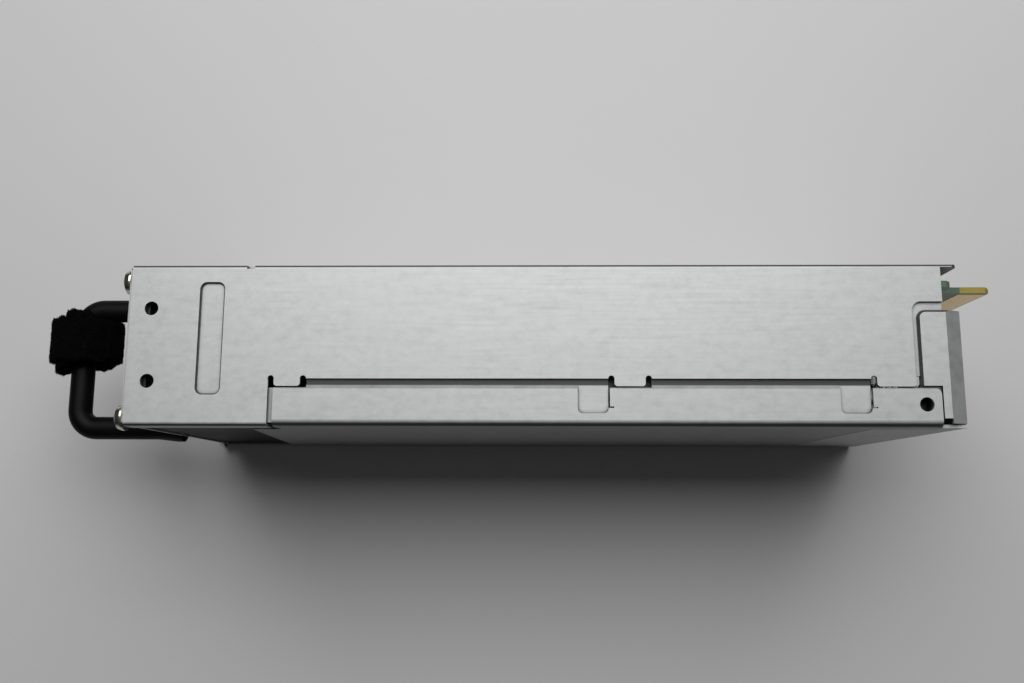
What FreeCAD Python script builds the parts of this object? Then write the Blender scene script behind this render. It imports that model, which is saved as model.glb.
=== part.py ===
"""Hot swap server power supply: a slim plug-in module with a card edge at the rear.

The unit stands on one narrow side. X runs from the front plate to the card edge, Y from the
sliding cover to the tray's base, and Z up across the wide faces. Millimetres. The features are
drawn from the case's lower front corner on the cover side; the finished sub-parts are written
with the middle of the narrow side that the unit stands on at the origin.
"""
import FreeCAD, Part
import Sketcher
import math
import os
import re

SIZES = {
    # sheet-metal case
    "sheet": 0.8,                # thickness of every folded steel sheet
    "case_deep": 198.8,          # front plate plane to the end of the side walls
    "case_thick": 40.0,          # cover face to base face
    "case_wide": 86.0,           # side wall to side wall
    "base_out": 4.3,             # the base reaches past the walls
    "base_corner": 1.5,
    "bend": 1.7,                 # outer bend radius of the cover
    "tray_bend": 1.0,            # outer bend radius of the tray
    "front_deep": 35.0,          # length of the full-height front part of each wall
    "wall_low": 11.65,           # lower edge of the walls behind the front part
    "lip": 6.0,                  # width of the return flanges and of the cover's rear side strips
    "ear_wide": 7.2,             # corner ears that the front plate is screwed to
    "ear_high": 5.6,
    "seam": 0.35,                # gap where two sheet edges lie side by side
    "joggle_gap": 1.3,           # open groove in front of a joggled edge
    # cover tabs of the walls and their lock pads
    "tab_low": 9.8,              # lower end of the tabs
    "first_tab": 36.4,
    "middle_tab": 119.1,
    "tab_back": 16.8,            # the last tab starts this far in front of the walls' end
    "first_tab_long": 6.4,
    "tab_long": 7.5,
    "notch": 1.5,                # relief notch beside a tab
    "pad_long": 7.4,
    "pad_low": 3.25,
    "slit": 0.35,
    "slit_low": 4.9,
    # cover
    "cover_short": 1.65,         # the cover's side flanges end in front of the walls' end
    "flange_high": 9.2,          # raised part of the cover's side flanges
    "strip_high": 16.0,          # end of the joggled strip that lies under the wall
    "joggle_run": 1.1,
    "tongue_low": 8.0,
    "tongue_top": 76.0,
    "tongue_front_low": 21.8,    # the cover's front edge runs at a slant
    "tongue_front_top": 28.9,
    # rear corner
    "rear_cut": 7.5,             # how far the wall is cut back below the step
    "step_high": 30.6,
    "step_round": 2.3,
    "rear_high": 28.5,           # height of the rear cover
    "bend_out": 0.6,             # the tapered lead-in starts behind the walls' end
    "rear_out": 4.7,
    "panel_round": 2.0,          # corner of the raised panel beside the wall's step
    "panel_edge": 0.5,
    "taper": 1.9,                # how far the lead-in narrows on each side
    "rear_low": 1.0,
    "rear_notch": 2.2,
    "vent": 4.0,                 # vent hexagon across flats
    "vent_web": 0.9,
    # side hole pair, key slot and cover screw hole
    "hole_radius": 1.725,
    "pair_x": 5.3,
    "pair_y": 20.0,
    "pair_pitch": 18.0,
    "key_front": 17.4,
    "key_long": 5.7,
    "key_low": 7.9,
    "key_high": 35.4,
    "key_deep": 0.7,
    "key_edge": 0.25,            # bevel round the key slot
    "cover_hole_back": 5.3,
    "cover_hole_y": 5.5,
    "nut_radius": 2.8,
    "nut_high": 3.6,
    # front plate and its screws
    "plate_gap": 0.1,
    "plate_inset": 0.4,
    "screw_y": 19.4,
    "screw_pitch_y": 34.0,
    "screw_in": 4.0,             # screw axes from each narrow side
    "screw_clear": 1.6,
    "thread_radius": 1.25,
    "head_radius": 3.3,
    "head_high": 2.4,
    "screw_long": 3.0,
    # handle and strap
    "grip_radius": 3.25,
    "grip_x": 31.6,              # bar axis in front of the front plate plane
    "grip_z": 42.0,
    "grip_y": 19.8,
    "grip_pitch": 34.3,
    "grip_bend": 5.2,
    "ferrule_radius": 3.9,
    "ferrule_long": 1.6,
    "ferrule_cone": 5.6,
    "rivet_radius": 2.1,
    "rivet_high": 0.9,
    "tenon_radius": 1.5,
    "strap_low": 18.7,
    "strap_wide": 14.6,
    "strap_radius": 10.8,
    "strap_hole": 3.55,
    # fan
    "fan_side": 38.0,
    "fan_deep": 28.0,
    "fan_flange": 3.5,
    "fan_y": 20.1,
    "fan_bore": 17.3,
    "fan_pitch": 32.0,
    "fan_gap": 0.3,
    "hub_radius": 9.8,
    "hub_wall": 0.8,
    "hub_deep": 15.0,
    "hub_front": 5.0,            # hub face behind the frame's front
    "blade_tip": 16.8,
    "blades": 7.0,
    "magnet": 0.6,
    "stator_radius": 8.0,
    "shaft_radius": 1.5,
    "shaft_fit": 0.03,
    "bearing_radius": 3.0,
    "bearing_long": 3.0,
    "strut": 2.2,
    "strut_deep": 2.6,
    "guard_radius": 18.5,
    "guard_hole": 4.2,
    "guard_web": 1.0,
    "fan_screw_head": 2.6,
    "fan_screw_high": 1.5,
    "fan_screw_long": 9.0,
    "fan_screw_core": 1.3,
    # mains inlet
    "inlet_y": 17.0,
    "inlet_z": 22.0,
    "inlet_wide": 27.4,
    "inlet_high": 20.0,
    "inlet_rim": 1.9,            # flange beyond the body on every side
    "inlet_rim_thick": 2.2,
    "inlet_deep": 20.0,
    "socket_wide": 24.2,
    "socket_high": 16.6,
    "socket_deep": 14.0,
    "socket_corner": 4.4,
    "blade_pitch": 7.0,
    "earth_shift": 4.0,
    "blade_wide": 4.0,
    "blade_thick": 2.0,
    "blade_front": -0.5,
    "spade_long": 8.0,
    "spade_thick": 0.8,
    # release latch
    "latch_z": 21.0,
    "latch_wide": 12.0,
    "latch_pivot_x": 32.0,
    "latch_pivot_in": 5.4,       # pivot axis inside the base face
    "latch_pin_radius": 1.0,
    "latch_fit": 0.04,
    "latch_barrel": 2.2,
    "latch_thick": 2.0,
    "latch_reach": 13.0,
    "catch_back": 14.5,
    "catch_long": 7.0,
    "catch_out": 1.8,
    "latch_gap": 0.8,
    "latch_slot_low": 29.6,
    "latch_slot_high": 36.3,
    "bracket_gap": 0.3,
    "bracket_low": 30.0,
    "leaf": 0.3,
    # main board
    "board": 1.6,
    "post_long": 3.0,            # standoffs between the base and the board
    "board_front": 36.0,
    "board_out": 3.5,
    "board_side": 2.0,
    "board_corner": 1.3,
    "tongue_out": 13.0,
    "tongue_corner": 1.4,
    "edge_low": 14.0,
    "edge_key_low": 50.5,
    "edge_key_high": 53.5,
    "edge_high": 76.5,
    "edge_key_deep": 10.0,
    "edge_bevel": 0.5,
    "gold_long": 7.8,
    "gold": 0.06,
    "post_radius": 3.0,
    "board_hole": 1.6,
    "post_front": 42.0,
    "post_back_in": 10.8,
    "post_in": 8.0,
    "post_head": 2.7,
    "post_head_high": 2.0,
    "film": 0.25,
    "cover_film": 0.3,
    # parts on the board
    "can_radius": 10.5,
    "can_high": 30.0,
    "small_can_radius": 5.0,
    "small_can_high": 18.0,
    "small_can_pitch": 10.6,
    "lug_thick": 0.8,
    "stud_x": 26.0,
    "stud_z": 9.0,
    "wire_radius": 0.9,
    "lead_radius": 1.3,
    "pipe_radius": 1.5,
    "pipe_y": 31.5,
    "pipe_z": 3.9,
    "pipe_out": 0.8,
}

# Places that follow from the sizes above.
PLACES = {
    "base_deep": "(case_deep + base_out)",
    "last_tab": "(case_deep - tab_back)",
    "cover_end": "(case_deep - cover_short)",
    "cover_plate_end": "(case_deep - tab_back)",
    "wall_cut": "(case_deep - rear_cut)",
    "rear_bend": "(case_deep + bend_out)",
    "rear_end": "(case_deep + rear_out)",
    "cover_hole_x": "(case_deep - cover_hole_back)",
    "board_low": "(case_thick - sheet - post_long - board)",
    "board_end": "(case_deep + board_out)",
    "tongue_end": "(case_deep + board_out + tongue_out)",
    "edge_key_end": "(case_deep + board_out + tongue_out - edge_key_deep)",
    "gold_front": "(case_deep + board_out + tongue_out - gold_long)",
    "post_back": "(case_deep - post_back_in)",
    "latch_pivot_y": "(case_thick - latch_pivot_in)",
    "fan_z": "(case_wide - sheet - key_deep - fan_gap - fan_side/2)",
    "socket_z": "(case_wide - sheet - key_deep - fan_gap - fan_side/2 - 12.7)",
    # the circuit parts are drawn for the nominal case and spread with the board
    "along": "((case_deep + board_out - board_front)/166.3)",
    "across": "(case_wide/86)",
    "rise": "(case_thick/40)",
}

doc = FreeCAD.newDocument("HotSwapPowerSupply")
sheet_cells = doc.addObject("Spreadsheet::Sheet", "Sizes")
for row, (alias, value) in enumerate(SIZES.items(), start=1):
    sheet_cells.set(f"A{row}", alias)
    sheet_cells.set(f"B{row}", str(value))
    sheet_cells.setAlias(f"B{row}", alias)
doc.recompute()

NODES = []


# ---------------------------------------------------------------- helpers

def cells(text):
    """An expression in the sheet's names, as FreeCAD writes it."""
    def spell(word):
        name = word.group()
        if name in PLACES:
            return cells(PLACES[name])
        return "Sizes." + name if name in SIZES else name
    return re.sub(r"[A-Za-z_]\w*", spell, str(text))


def value(text):
    """The number that an expression has now."""
    return float(sheet_cells.evalExpression(cells(text)))


def node(thing, name):
    """Names a finished sub-part, which is written to its own file."""
    thing.Label = name
    NODES.append(thing)
    return thing


def new_body(name):
    return doc.addObject("PartDesign::Body", name)


def origin_plane(body, role):
    return next(f for f in body.Origin.OriginFeatures if f.Role == role)


def rect(x0, x1, y0, y1):
    return [(x0, y0), (x1, y0), (x1, y1), (x0, y1)]


def circle(x, y, radius):
    return ("circle", x, y, radius)


def add_loop(sketch, loop):
    """Adds a polygon of expressions, or a circle, fully constrained to the sheet."""
    first = sketch.GeometryCount
    if loop[0] == "circle":
        centre = FreeCAD.Vector(value(loop[1]), value(loop[2]), 0)
        sketch.addGeometry(Part.Circle(centre, FreeCAD.Vector(0, 0, 1), value(loop[3])), False)
        pinned = [("DistanceX", 3, loop[1]), ("DistanceY", 3, loop[2])]
        index = sketch.addConstraint(Sketcher.Constraint("Radius", first, value(loop[3])))
        sketch.setExpression(f"Constraints[{index}]", cells(loop[3]))
        points = [(first, pinned)]
    else:
        corners = [FreeCAD.Vector(value(x), value(y), 0) for x, y in loop]
        count = len(corners)
        for i in range(count):
            sketch.addGeometry(Part.LineSegment(corners[i], corners[(i + 1) % count]), False)
        for i in range(count):
            sketch.addConstraint(
                Sketcher.Constraint("Coincident", first + i, 2, first + (i + 1) % count, 1))
        points = [(first + i, [("DistanceX", 1, x), ("DistanceY", 1, y)])
                  for i, (x, y) in enumerate(loop)]
    for geometry, pins in points:
        for kind, vertex, text in pins:
            index = sketch.addConstraint(
                Sketcher.Constraint(kind, -1, 1, geometry, vertex, value(text)))
            sketch.setExpression(f"Constraints[{index}]", cells(text))


def extrude(body, name, plane, loops, low, high, cut=False):
    """Pads or pockets loops drawn on an origin plane, from low to high along its axis.

    plane XY takes (X, Y) and runs along Z, XZ takes (X, Z) and runs along Y,
    YZ takes (Y, Z) and runs along X.
    """
    sketch = body.newObject("Sketcher::SketchObject", name + "_sketch")
    sketch.AttachmentSupport = [(origin_plane(body, plane + "_Plane"), "")]
    sketch.MapMode = "FlatFace"
    backwards = plane == "XZ"
    start = f"-({low})" if backwards else f"{low}"
    sketch.setExpression("AttachmentOffset.Base.z", cells(start))
    for loop in loops:
        add_loop(sketch, loop)
    kind = "PartDesign::Pocket" if cut else "PartDesign::Pad"
    feature = body.newObject(kind, name)
    feature.Profile = sketch
    feature.Reversed = backwards != cut
    feature.setExpression("Length", cells(f"({high}) - ({low})"))
    body.Tip = feature
    before = body.Shape.Volume if cut else 0.0
    doc.recompute()
    if cut and feature.Shape.Volume > before - 1e-6:
        raise RuntimeError(name + " cuts nothing")
    return feature


def round_edges(body, name, radius, chosen, kind="PartDesign::Fillet"):
    """Rounds the edges of the body's last feature that chosen(edge) accepts."""
    base = body.Tip
    names = [f"Edge{i}" for i, edge in enumerate(base.Shape.Edges, start=1) if chosen(edge)]
    if not names:
        raise RuntimeError(name + " finds no edge")
    feature = body.newObject(kind, name)
    feature.Base = (base, names)
    feature.setExpression("Radius" if kind.endswith("Fillet") else "Size", cells(radius))
    body.Tip = feature
    doc.recompute()
    return feature


def runs(axis, **where):
    """Picks straight edges along an axis whose middle has the given coordinates."""
    wanted = {key: value(text) for key, text in where.items()}

    def chosen(edge):
        if edge.Curve.TypeId != "Part::GeomLine":
            return False
        direction = edge.tangentAt(edge.FirstParameter)
        if abs(getattr(direction, axis)) < 0.999:
            return False
        middle = edge.CenterOfMass
        return all(abs(getattr(middle, key) - number) < 0.01 for key, number in wanted.items())
    return chosen


def any_of(*choices):
    return lambda edge: any(choice(edge) for choice in choices)


def box(name, x0, x1, y0, y1, z0, z1):
    block = doc.addObject("Part::Box", name)
    block.setExpression("Length", cells(f"({x1}) - ({x0})"))
    block.setExpression("Width", cells(f"({y1}) - ({y0})"))
    block.setExpression("Height", cells(f"({z1}) - ({z0})"))
    for key, text in zip("xyz", (x0, y0, z0)):
        block.setExpression("Placement.Base." + key, cells(text))
    return block


TURN = {"X": (FreeCAD.Vector(0, 1, 0), 90), "Y": (FreeCAD.Vector(1, 0, 0), -90),
        "Z": (FreeCAD.Vector(0, 0, 1), 0)}


def rod(name, axis, x, y, z, radius, length):
    """A cylinder from a point along +axis."""
    bar = doc.addObject("Part::Cylinder", name)
    bar.Placement = FreeCAD.Placement(FreeCAD.Vector(), FreeCAD.Rotation(*TURN[axis]))
    bar.setExpression("Radius", cells(radius))
    bar.setExpression("Height", cells(length))
    for key, text in zip("xyz", (x, y, z)):
        bar.setExpression("Placement.Base." + key, cells(text))
    return bar


def join(name, *parts):
    whole = doc.addObject("Part::MultiFuse", name)
    whole.Shapes = list(parts)
    return whole


def carve(name, base, tool):
    rest = doc.addObject("Part::Cut", name)
    rest.Base = base
    rest.Tool = tool
    return rest


def together(name, parts):
    """Separate solids of one kind that share a node."""
    group = doc.addObject("Part::Compound", name)
    group.Links = list(parts)
    return group


def shaped(name, shape):
    feature = doc.addObject("Part::Feature", name)
    feature.Shape = shape
    return feature


def spun(axis, x, y, z, profile):
    """A solid of revolution: profile gives (distance along the axis, radius) expressions."""
    at = FreeCAD.Vector(value(x), value(y), value(z))
    points = [FreeCAD.Vector(value(run), value(radius), 0) for run, radius in profile]
    wire = Part.makePolygon(points + points[:1])
    solid = Part.Face(wire).revolve(FreeCAD.Vector(), FreeCAD.Vector(1, 0, 0), 360)
    turn = {"X": FreeCAD.Rotation(), "Y": FreeCAD.Rotation(FreeCAD.Vector(0, 0, 1), 90),
            "Z": FreeCAD.Rotation(FreeCAD.Vector(0, 1, 0), -90)}[axis]
    solid.Placement = FreeCAD.Placement(at, turn)
    return solid


def tube_along(points, radius):
    """A round wire on straight runs joined by tangent arcs as large as the runs allow."""
    edges = []
    radii = []
    last = points[0]
    for before, corner, after in zip(points, points[1:], points[2:]):
        into = (corner - before).normalize()
        out = (after - corner).normalize()
        turn = into.getAngle(out)
        shorter = min((corner - before).Length, (after - corner).Length)
        setback = 0.45 * shorter
        arc_radius = setback / math.tan(turn / 2)
        radii.append(round(arc_radius, 2))
        start = corner - into * setback
        end = corner + out * setback
        middle_way = (out - into).normalize()
        centre = corner + middle_way * (arc_radius / math.cos(turn / 2))
        middle = centre - middle_way * arc_radius
        edges.append(Part.LineSegment(last, start).toShape())
        edges.append(Part.Arc(start, middle, end).toShape())
        last = end
    edges.append(Part.LineSegment(last, points[-1]).toShape())
    path = Part.Wire(edges)
    ring = Part.Wire(Part.Circle(points[0], (points[1] - points[0]).normalize(), radius).toShape())
    solid = path.makePipeShell([ring], True, False)
    wanted = math.pi * radius ** 2 * path.Length
    if abs(solid.Volume / wanted - 1) > 0.01:
        raise RuntimeError("a wire's volume does not match its length")
    print(f"wire: bend radii {radii}, volume {solid.Volume:.2f} against {wanted:.2f} mm3")
    return solid


def hexagon_grid(across, web, wide, high, inside):
    """Centres of a staggered hexagon field about the origin that inside(u, v) accepts."""
    pitch = across + web
    rise = pitch * math.sqrt(3) / 2
    rows = int(high / rise / 2) + 1
    columns = int(wide / pitch / 2) + 1
    centres = []
    for row in range(-rows, rows + 1):
        for column in range(-columns, columns + 1):
            u = (column + 0.5 * (row % 2)) * pitch
            v = row * rise
            if inside(u, v):
                centres.append((u, v))
    return centres


def hexagon_prisms(x, length, y, z, across, centres):
    """Hexagonal prisms along X; u runs along Z and v along Y from the field's middle."""
    reach = across / math.sqrt(3)
    prisms = []
    for u, v in centres:
        ring = [FreeCAD.Vector(x, y + v + reach * math.cos(math.pi * k / 3),
                               z + u + reach * math.sin(math.pi * k / 3)) for k in range(6)]
        face = Part.Face(Part.makePolygon(ring + ring[:1]))
        prisms.append(face.extrude(FreeCAD.Vector(length, 0, 0)))
    return Part.makeCompound(prisms)


# ---------------------------------------------------------------- sheet-metal case

TABS = [("first_tab", "first_tab_long"), ("middle_tab", "tab_long")]
NEAR = ("case_wide - sheet", "case_wide")      # the upper side wall
FAR = ("0", "sheet")                           # the side wall that the unit stands on


def make_chassis_tray():
    tray = new_body("chassis_tray")
    base = [("0", "0"), ("base_deep - base_corner", "0"), ("base_deep", "base_corner"),
            ("base_deep", "case_wide - base_corner"), ("base_deep - base_corner", "case_wide"),
            ("0", "case_wide")]
    extrude(tray, "tray_base", "XZ", [base], "case_thick - sheet", "case_thick")
    outline = [("0", "0"), ("front_deep", "0"), ("front_deep", "wall_low")]
    for start, length in TABS:
        outline += [(start, "wall_low"), (start, "tab_low"),
                    (f"{start} + {length}", "tab_low"), (f"{start} + {length}", "wall_low")]
    outline += [("last_tab", "wall_low"), ("last_tab", "tab_low"), ("wall_cut", "tab_low"),
                ("wall_cut", "step_high"), ("case_deep", "step_high"),
                ("case_deep", "case_thick"), ("0", "case_thick")]
    for side, (low, high) in {"upper": NEAR, "lower": FAR}.items():
        extrude(tray, side + "_wall", "XY", [outline], low, high)
    extrude(tray, "return_flanges", "XZ",
            [rect("0", "front_deep", "0", "lip"),
             rect("0", "front_deep", "case_wide - lip", "case_wide")], "0", "sheet")
    ears = []
    for z0, z1 in (("sheet/2", "sheet + ear_wide"),
                   ("case_wide - sheet - ear_wide", "case_wide - sheet/2")):
        ears += [rect("sheet/2", "ear_high", z0, z1),
                 rect("case_thick - ear_high", "case_thick - sheet/2", z0, z1)]
    extrude(tray, "corner_ears", "YZ", ears, "0", "sheet")
    extrude(tray, "key_bulge", "XY",
            [rect("key_front - key_deep", "key_front + key_long + key_deep",
                  "key_low - key_deep", "key_high + key_deep")],
            "case_wide - sheet - key_deep", "case_wide - sheet")
    round_edges(tray, "tray_bends", "tray_bend",
                any_of(runs("x", y="case_thick", z="case_wide"), runs("x", y="case_thick", z="0"),
                       runs("x", y="0", z="case_wide"), runs("x", y="0", z="0")))
    round_edges(tray, "step_rounds", "step_round", runs("z", x="wall_cut", y="step_high"))
    notches = [circle(f"{start} {way} notch/2", "wall_low", "notch/2")
               for start, way in (("first_tab", "-"), ("first_tab + first_tab_long", "+"),
                                  ("middle_tab", "-"), ("middle_tab + tab_long", "+"),
                                  ("last_tab", "-"))]
    extrude(tray, "tab_notches", "XY", notches, "-1", "case_wide + 1", cut=True)
    corners = [runs("z", x=x, y="tab_low") for x in
               ("first_tab", "first_tab + first_tab_long", "middle_tab", "middle_tab + tab_long",
                "last_tab", "wall_cut")]
    round_edges(tray, "tab_rounds", "notch/2", any_of(*corners))
    extrude(tray, "side_holes", "XY",
            [circle("pair_x", "pair_y - pair_pitch/2", "hole_radius"),
             circle("pair_x", "pair_y + pair_pitch/2", "hole_radius")],
            "case_wide - 2*sheet", "case_wide + 1", cut=True)
    extrude(tray, "key_slot", "XY",
            [rect("key_front", "key_front + key_long", "key_low", "key_high")],
            "case_wide - key_deep", "case_wide + 1", cut=True)
    round_edges(tray, "key_rounds", "notch",
                any_of(*[runs("z", x=x, y=y, z="case_wide - key_deep/2")
                         for x in ("key_front", "key_front + key_long")
                         for y in ("key_low", "key_high")]))
    rim = value("case_wide")
    inside = (value("key_front"), value("key_front + key_long"))
    round_edges(tray, "key_bevel", "key_edge",
                lambda edge: abs(edge.BoundBox.ZMin - rim) < 0.01
                and inside[0] - 0.1 < edge.BoundBox.XMin and edge.BoundBox.XMax < inside[1] + 0.1
                and edge.BoundBox.YMax < value("key_high") + 0.1
                and edge.BoundBox.YMin > value("key_low") - 0.1, "PartDesign::Chamfer")
    extrude(tray, "ear_threads", "YZ",
            [circle(y, z, "thread_radius") for y, z in plate_screw_places()],
            "-1", "2*sheet", cut=True)
    extrude(tray, "catch_window", "XZ",
            [rect("catch_back - latch_gap", "catch_back + catch_long + latch_gap",
                  "latch_z - latch_wide/2 - latch_gap", "latch_z + latch_wide/2 + latch_gap")],
            "case_thick - 2*sheet", "case_thick + 1", cut=True)
    extrude(tray, "bend_reliefs", "XY",
            [rect("front_deep - 6.5", "front_deep - 4.5", "case_thick - tray_bend",
                  "case_thick + 1")], "case_wide - 2*sheet", "case_wide + 1", cut=True)
    extrude(tray, "lower_bend_reliefs", "XY",
            [rect("front_deep - 6.5", "front_deep - 4.5", "case_thick - tray_bend",
                  "case_thick + 1")], "-1", "2*sheet", cut=True)
    node(tray, "chassis_tray")


def plate_screw_places():
    return [(f"screw_y {way} screw_pitch_y/2", z)
            for way in "-+" for z in ("screw_in", "case_wide - screw_in")]


def make_slide_cover():
    cover = new_body("slide_cover")
    outer = [("strip_high", "sheet"), ("flange_high + joggle_run", "sheet"), ("flange_high", "0"),
             ("0", "0"), ("0", "case_wide"), ("flange_high", "case_wide"),
             ("flange_high + joggle_run", "case_wide - sheet"),
             ("strip_high", "case_wide - sheet")]
    inner = [("strip_high", "case_wide - 2*sheet"),
             ("flange_high + joggle_run - sheet/2", "case_wide - 2*sheet"),
             ("flange_high - sheet/2", "case_wide - sheet"), ("sheet", "case_wide - sheet"),
             ("sheet", "sheet"), ("flange_high - sheet/2", "sheet"),
             ("flange_high + joggle_run - sheet/2", "2*sheet"), ("strip_high", "2*sheet")]
    extrude(cover, "cover_section", "YZ", [outer + inner], "front_deep + joggle_gap", "cover_end")
    round_edges(cover, "cover_bends", "bend",
                any_of(runs("x", y="0", z="0"), runs("x", y="0", z="case_wide")))
    round_edges(cover, "cover_inner_bends", "bend - sheet",
                any_of(runs("x", y="sheet", z="sheet"),
                       runs("x", y="sheet", z="case_wide - sheet")))
    extrude(cover, "front_tongue", "XZ",
            [[("tongue_front_low", "tongue_low"), ("front_deep + 2*joggle_gap", "tongue_low"),
              ("front_deep + 2*joggle_gap", "tongue_top"), ("tongue_front_top", "tongue_top")]],
            "0", "sheet")
    cutout_low = "tab_low - seam"
    gaps = [rect("front_deep", "first_tab + first_tab_long + notch", cutout_low,
                 "strip_high + 1"),
            rect("middle_tab - notch", "middle_tab + tab_long + notch", cutout_low,
                 "strip_high + 1"),
            rect("last_tab - notch", "cover_end + 1", cutout_low, "strip_high + 1")]
    extrude(cover, "tab_cutouts", "XY", gaps, "-1", "case_wide + 1", cut=True)
    pads = ["middle_tab - notch", "last_tab - notch"]
    for side, (low, high) in {"upper": NEAR, "lower": FAR}.items():
        hollow = [rect(f"{end} - pad_long", end, "pad_low", "flange_high + joggle_run")
                  for end in pads]
        extrude(cover, side + "_pad_recess", "XY", hollow, low, high, cut=True)
        corners = [runs("z", x=x, y="pad_low") for end in pads for x in (f"{end} - pad_long", end)]
        round_edges(cover, side + "_pad_rounds", "notch*0.8", any_of(*corners))
        floor = [[(f"{end} - pad_long - sheet", "pad_low - sheet"),
                  (f"{end} + sheet", "pad_low - sheet"), (f"{end} + sheet", "slit_low"),
                  (end, "slit_low"), (end, "flange_high + joggle_run"),
                  (f"{end} - pad_long - sheet", "flange_high + joggle_run")] for end in pads]
        floor_low = "sheet" if side == "lower" else "case_wide - 2*sheet"
        extrude(cover, side + "_pad_floor", "XY", floor, floor_low, f"{floor_low} + sheet")
        strip = [rect("front_deep - 4", "front_deep + joggle_gap + sheet", "sheet + 0.2",
                      cutout_low)]
        extrude(cover, side + "_front_strip", "XY", strip, floor_low, f"{floor_low} + sheet")
    slits = []
    for end in pads:
        slits.append([(end, "slit_low"), (f"{end} + slit", "slit_low"),
                      (f"{end} + slit", "tab_low"), (end, "tab_low")])
        slits.append(rect(end, f"{end} + notch*0.9", "slit_low - slit", "slit_low"))
    for index, slit in enumerate(slits):
        extrude(cover, f"slit_{index}", "XY", [slit], "-1", "case_wide + 1", cut=True)
    flat_end = [rect("last_tab - notch", "cover_end + 1", "flange_high - sheet", "strip_high + 1")]
    extrude(cover, "upper_flat_end", "XY", flat_end, "case_wide - 3*sheet", "case_wide - sheet",
            cut=True)
    extrude(cover, "lower_flat_end", "XY", flat_end, "sheet", "3*sheet", cut=True)
    extrude(cover, "rear_opening", "XZ",
            [rect("cover_plate_end", "cover_end + 1", "lip", "case_wide - lip")],
            "-1", "2*sheet", cut=True)
    extrude(cover, "cover_screw_hole", "XY", [circle("cover_hole_x", "cover_hole_y", "hole_radius")],
            "case_wide - 2*sheet", "case_wide + 1", cut=True)
    round_edges(cover, "cover_corner", "notch",
                any_of(runs("z", x="cover_end", y=cutout_low)))
    node(cover, "slide_cover")


def make_rear_cover():
    body = new_body("rear_sheet")
    panel = "wall_cut + joggle_gap"
    under = "cover_end + seam"
    start = "rear_bend - sheet"
    outer = [(start, "0"), ("rear_bend", "0"), ("rear_end", "taper"),
             ("rear_end", "case_wide - taper"), ("rear_bend", "case_wide"), (start, "case_wide")]
    inner = [(start, "case_wide - sheet"), ("rear_bend - sheet/4", "case_wide - sheet"),
             ("rear_end - sheet", "case_wide - taper - sheet*0.7"),
             ("rear_end - sheet", "taper + sheet*0.7"), ("rear_bend - sheet/4", "sheet"),
             (start, "sheet")]
    extrude(body, "rear_section", "XZ", [outer + inner], "rear_low", "rear_high")
    raised = [(panel, "tab_low + 0.2"), (under, "tab_low + 0.2"), (under, "rear_notch"),
              ("rear_bend", "rear_notch"), ("rear_bend", "rear_high"), (panel, "rear_high")]
    rim = [("wall_cut - 4", "sheet + 1.4"), ("case_deep", "sheet + 1.4"),
           ("case_deep", "board_low - 1.5"), ("wall_cut - 4", "board_low - 1.5")]
    for side, level, low in (("upper", NEAR, "case_wide - 2*sheet"), ("lower", FAR, "sheet")):
        extrude(body, side + "_panel", "XY", [raised], *level)
        round_edges(body, side + "_panel_corner", "panel_round",
                    runs("z", x=panel, y="rear_high"))
        top = value("case_wide" if side == "upper" else "0")
        round_edges(body, side + "_panel_bevel", "panel_edge",
                    lambda edge: abs(edge.BoundBox.ZMin - top) < 0.01
                    and edge.BoundBox.ZLength < 0.01
                    and edge.BoundBox.XMax < value(f"{panel} + panel_round + 0.1")
                    and edge.BoundBox.YMin > value("tab_low"), "PartDesign::Chamfer")
        extrude(body, side + "_rim", "XY", [rim], low, f"{low} + sheet")
    extrude(body, "rim_notches", "XY",
            [rect("wall_cut - 0.1", f"{panel} + 0.1", "tab_low - 0.2", "wall_low + notch/2")],
            "-1", "case_wide + 1", cut=True)
    extrude(body, "rear_edge_notches", "XY",
            [rect(under, "rear_bend + 0.1", "rear_low - 0.1", "rear_notch")],
            "-1", "case_wide + 1", cut=True)
    extrude(body, "blind_nut", "XY", [circle("cover_hole_x", "cover_hole_y", "nut_radius")],
            "case_wide - 2*sheet - nut_high", "case_wide - 2*sheet")
    extrude(body, "nut_thread", "XY", [circle("cover_hole_x", "cover_hole_y", "hole_radius")],
            "case_wide - 1.2*sheet - nut_high", "case_wide", cut=True)
    extrude(body, "rear_foot", "YZ",
            [rect("0", "rear_notch", "taper + sheet", "case_wide - taper - sheet")],
            "rear_end - sheet", "rear_end")
    floor = [("cover_plate_end + seam", "lip + seam"), (under, "lip + seam"), (under, "taper"),
             ("rear_end - sheet/2", "taper"), ("rear_end - sheet/2", "case_wide - taper"),
             (under, "case_wide - taper"), (under, "case_wide - lip - seam"),
             ("cover_plate_end + seam", "case_wide - lip - seam")]
    slot = rect("cover_plate_end + 5", "rear_end - 2.5", "case_wide - 31.2", "case_wide - 30.8")
    extrude(body, "rear_floor", "XZ", [floor, slot], "0", "sheet")
    wide = value("case_wide - 2*taper - 4*sheet")
    high = value("rear_high - rear_low - 4*sheet")
    across = value("vent")
    reach = across / math.sqrt(3)
    centres = hexagon_grid(across, value("vent_web"), wide, high,
                           lambda u, v: abs(u) < wide / 2 - reach and abs(v) < high / 2 - reach)
    vents = shaped("vents", hexagon_prisms(value("rear_end - 2*sheet"), value("3*sheet"),
                                           value("(rear_high + rear_low)/2"),
                                           value("case_wide/2"), across, centres))
    node(carve("rear_cover_with_vents", body, vents), "rear_cover")


# ---------------------------------------------------------------- front end

def fan_screw_places():
    return [(f"fan_y {way} fan_pitch/2", f"fan_z - fan_pitch/2") for way in "-+"]


def grip_places():
    return [f"grip_y {way} grip_pitch/2" for way in "-+"]


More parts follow.
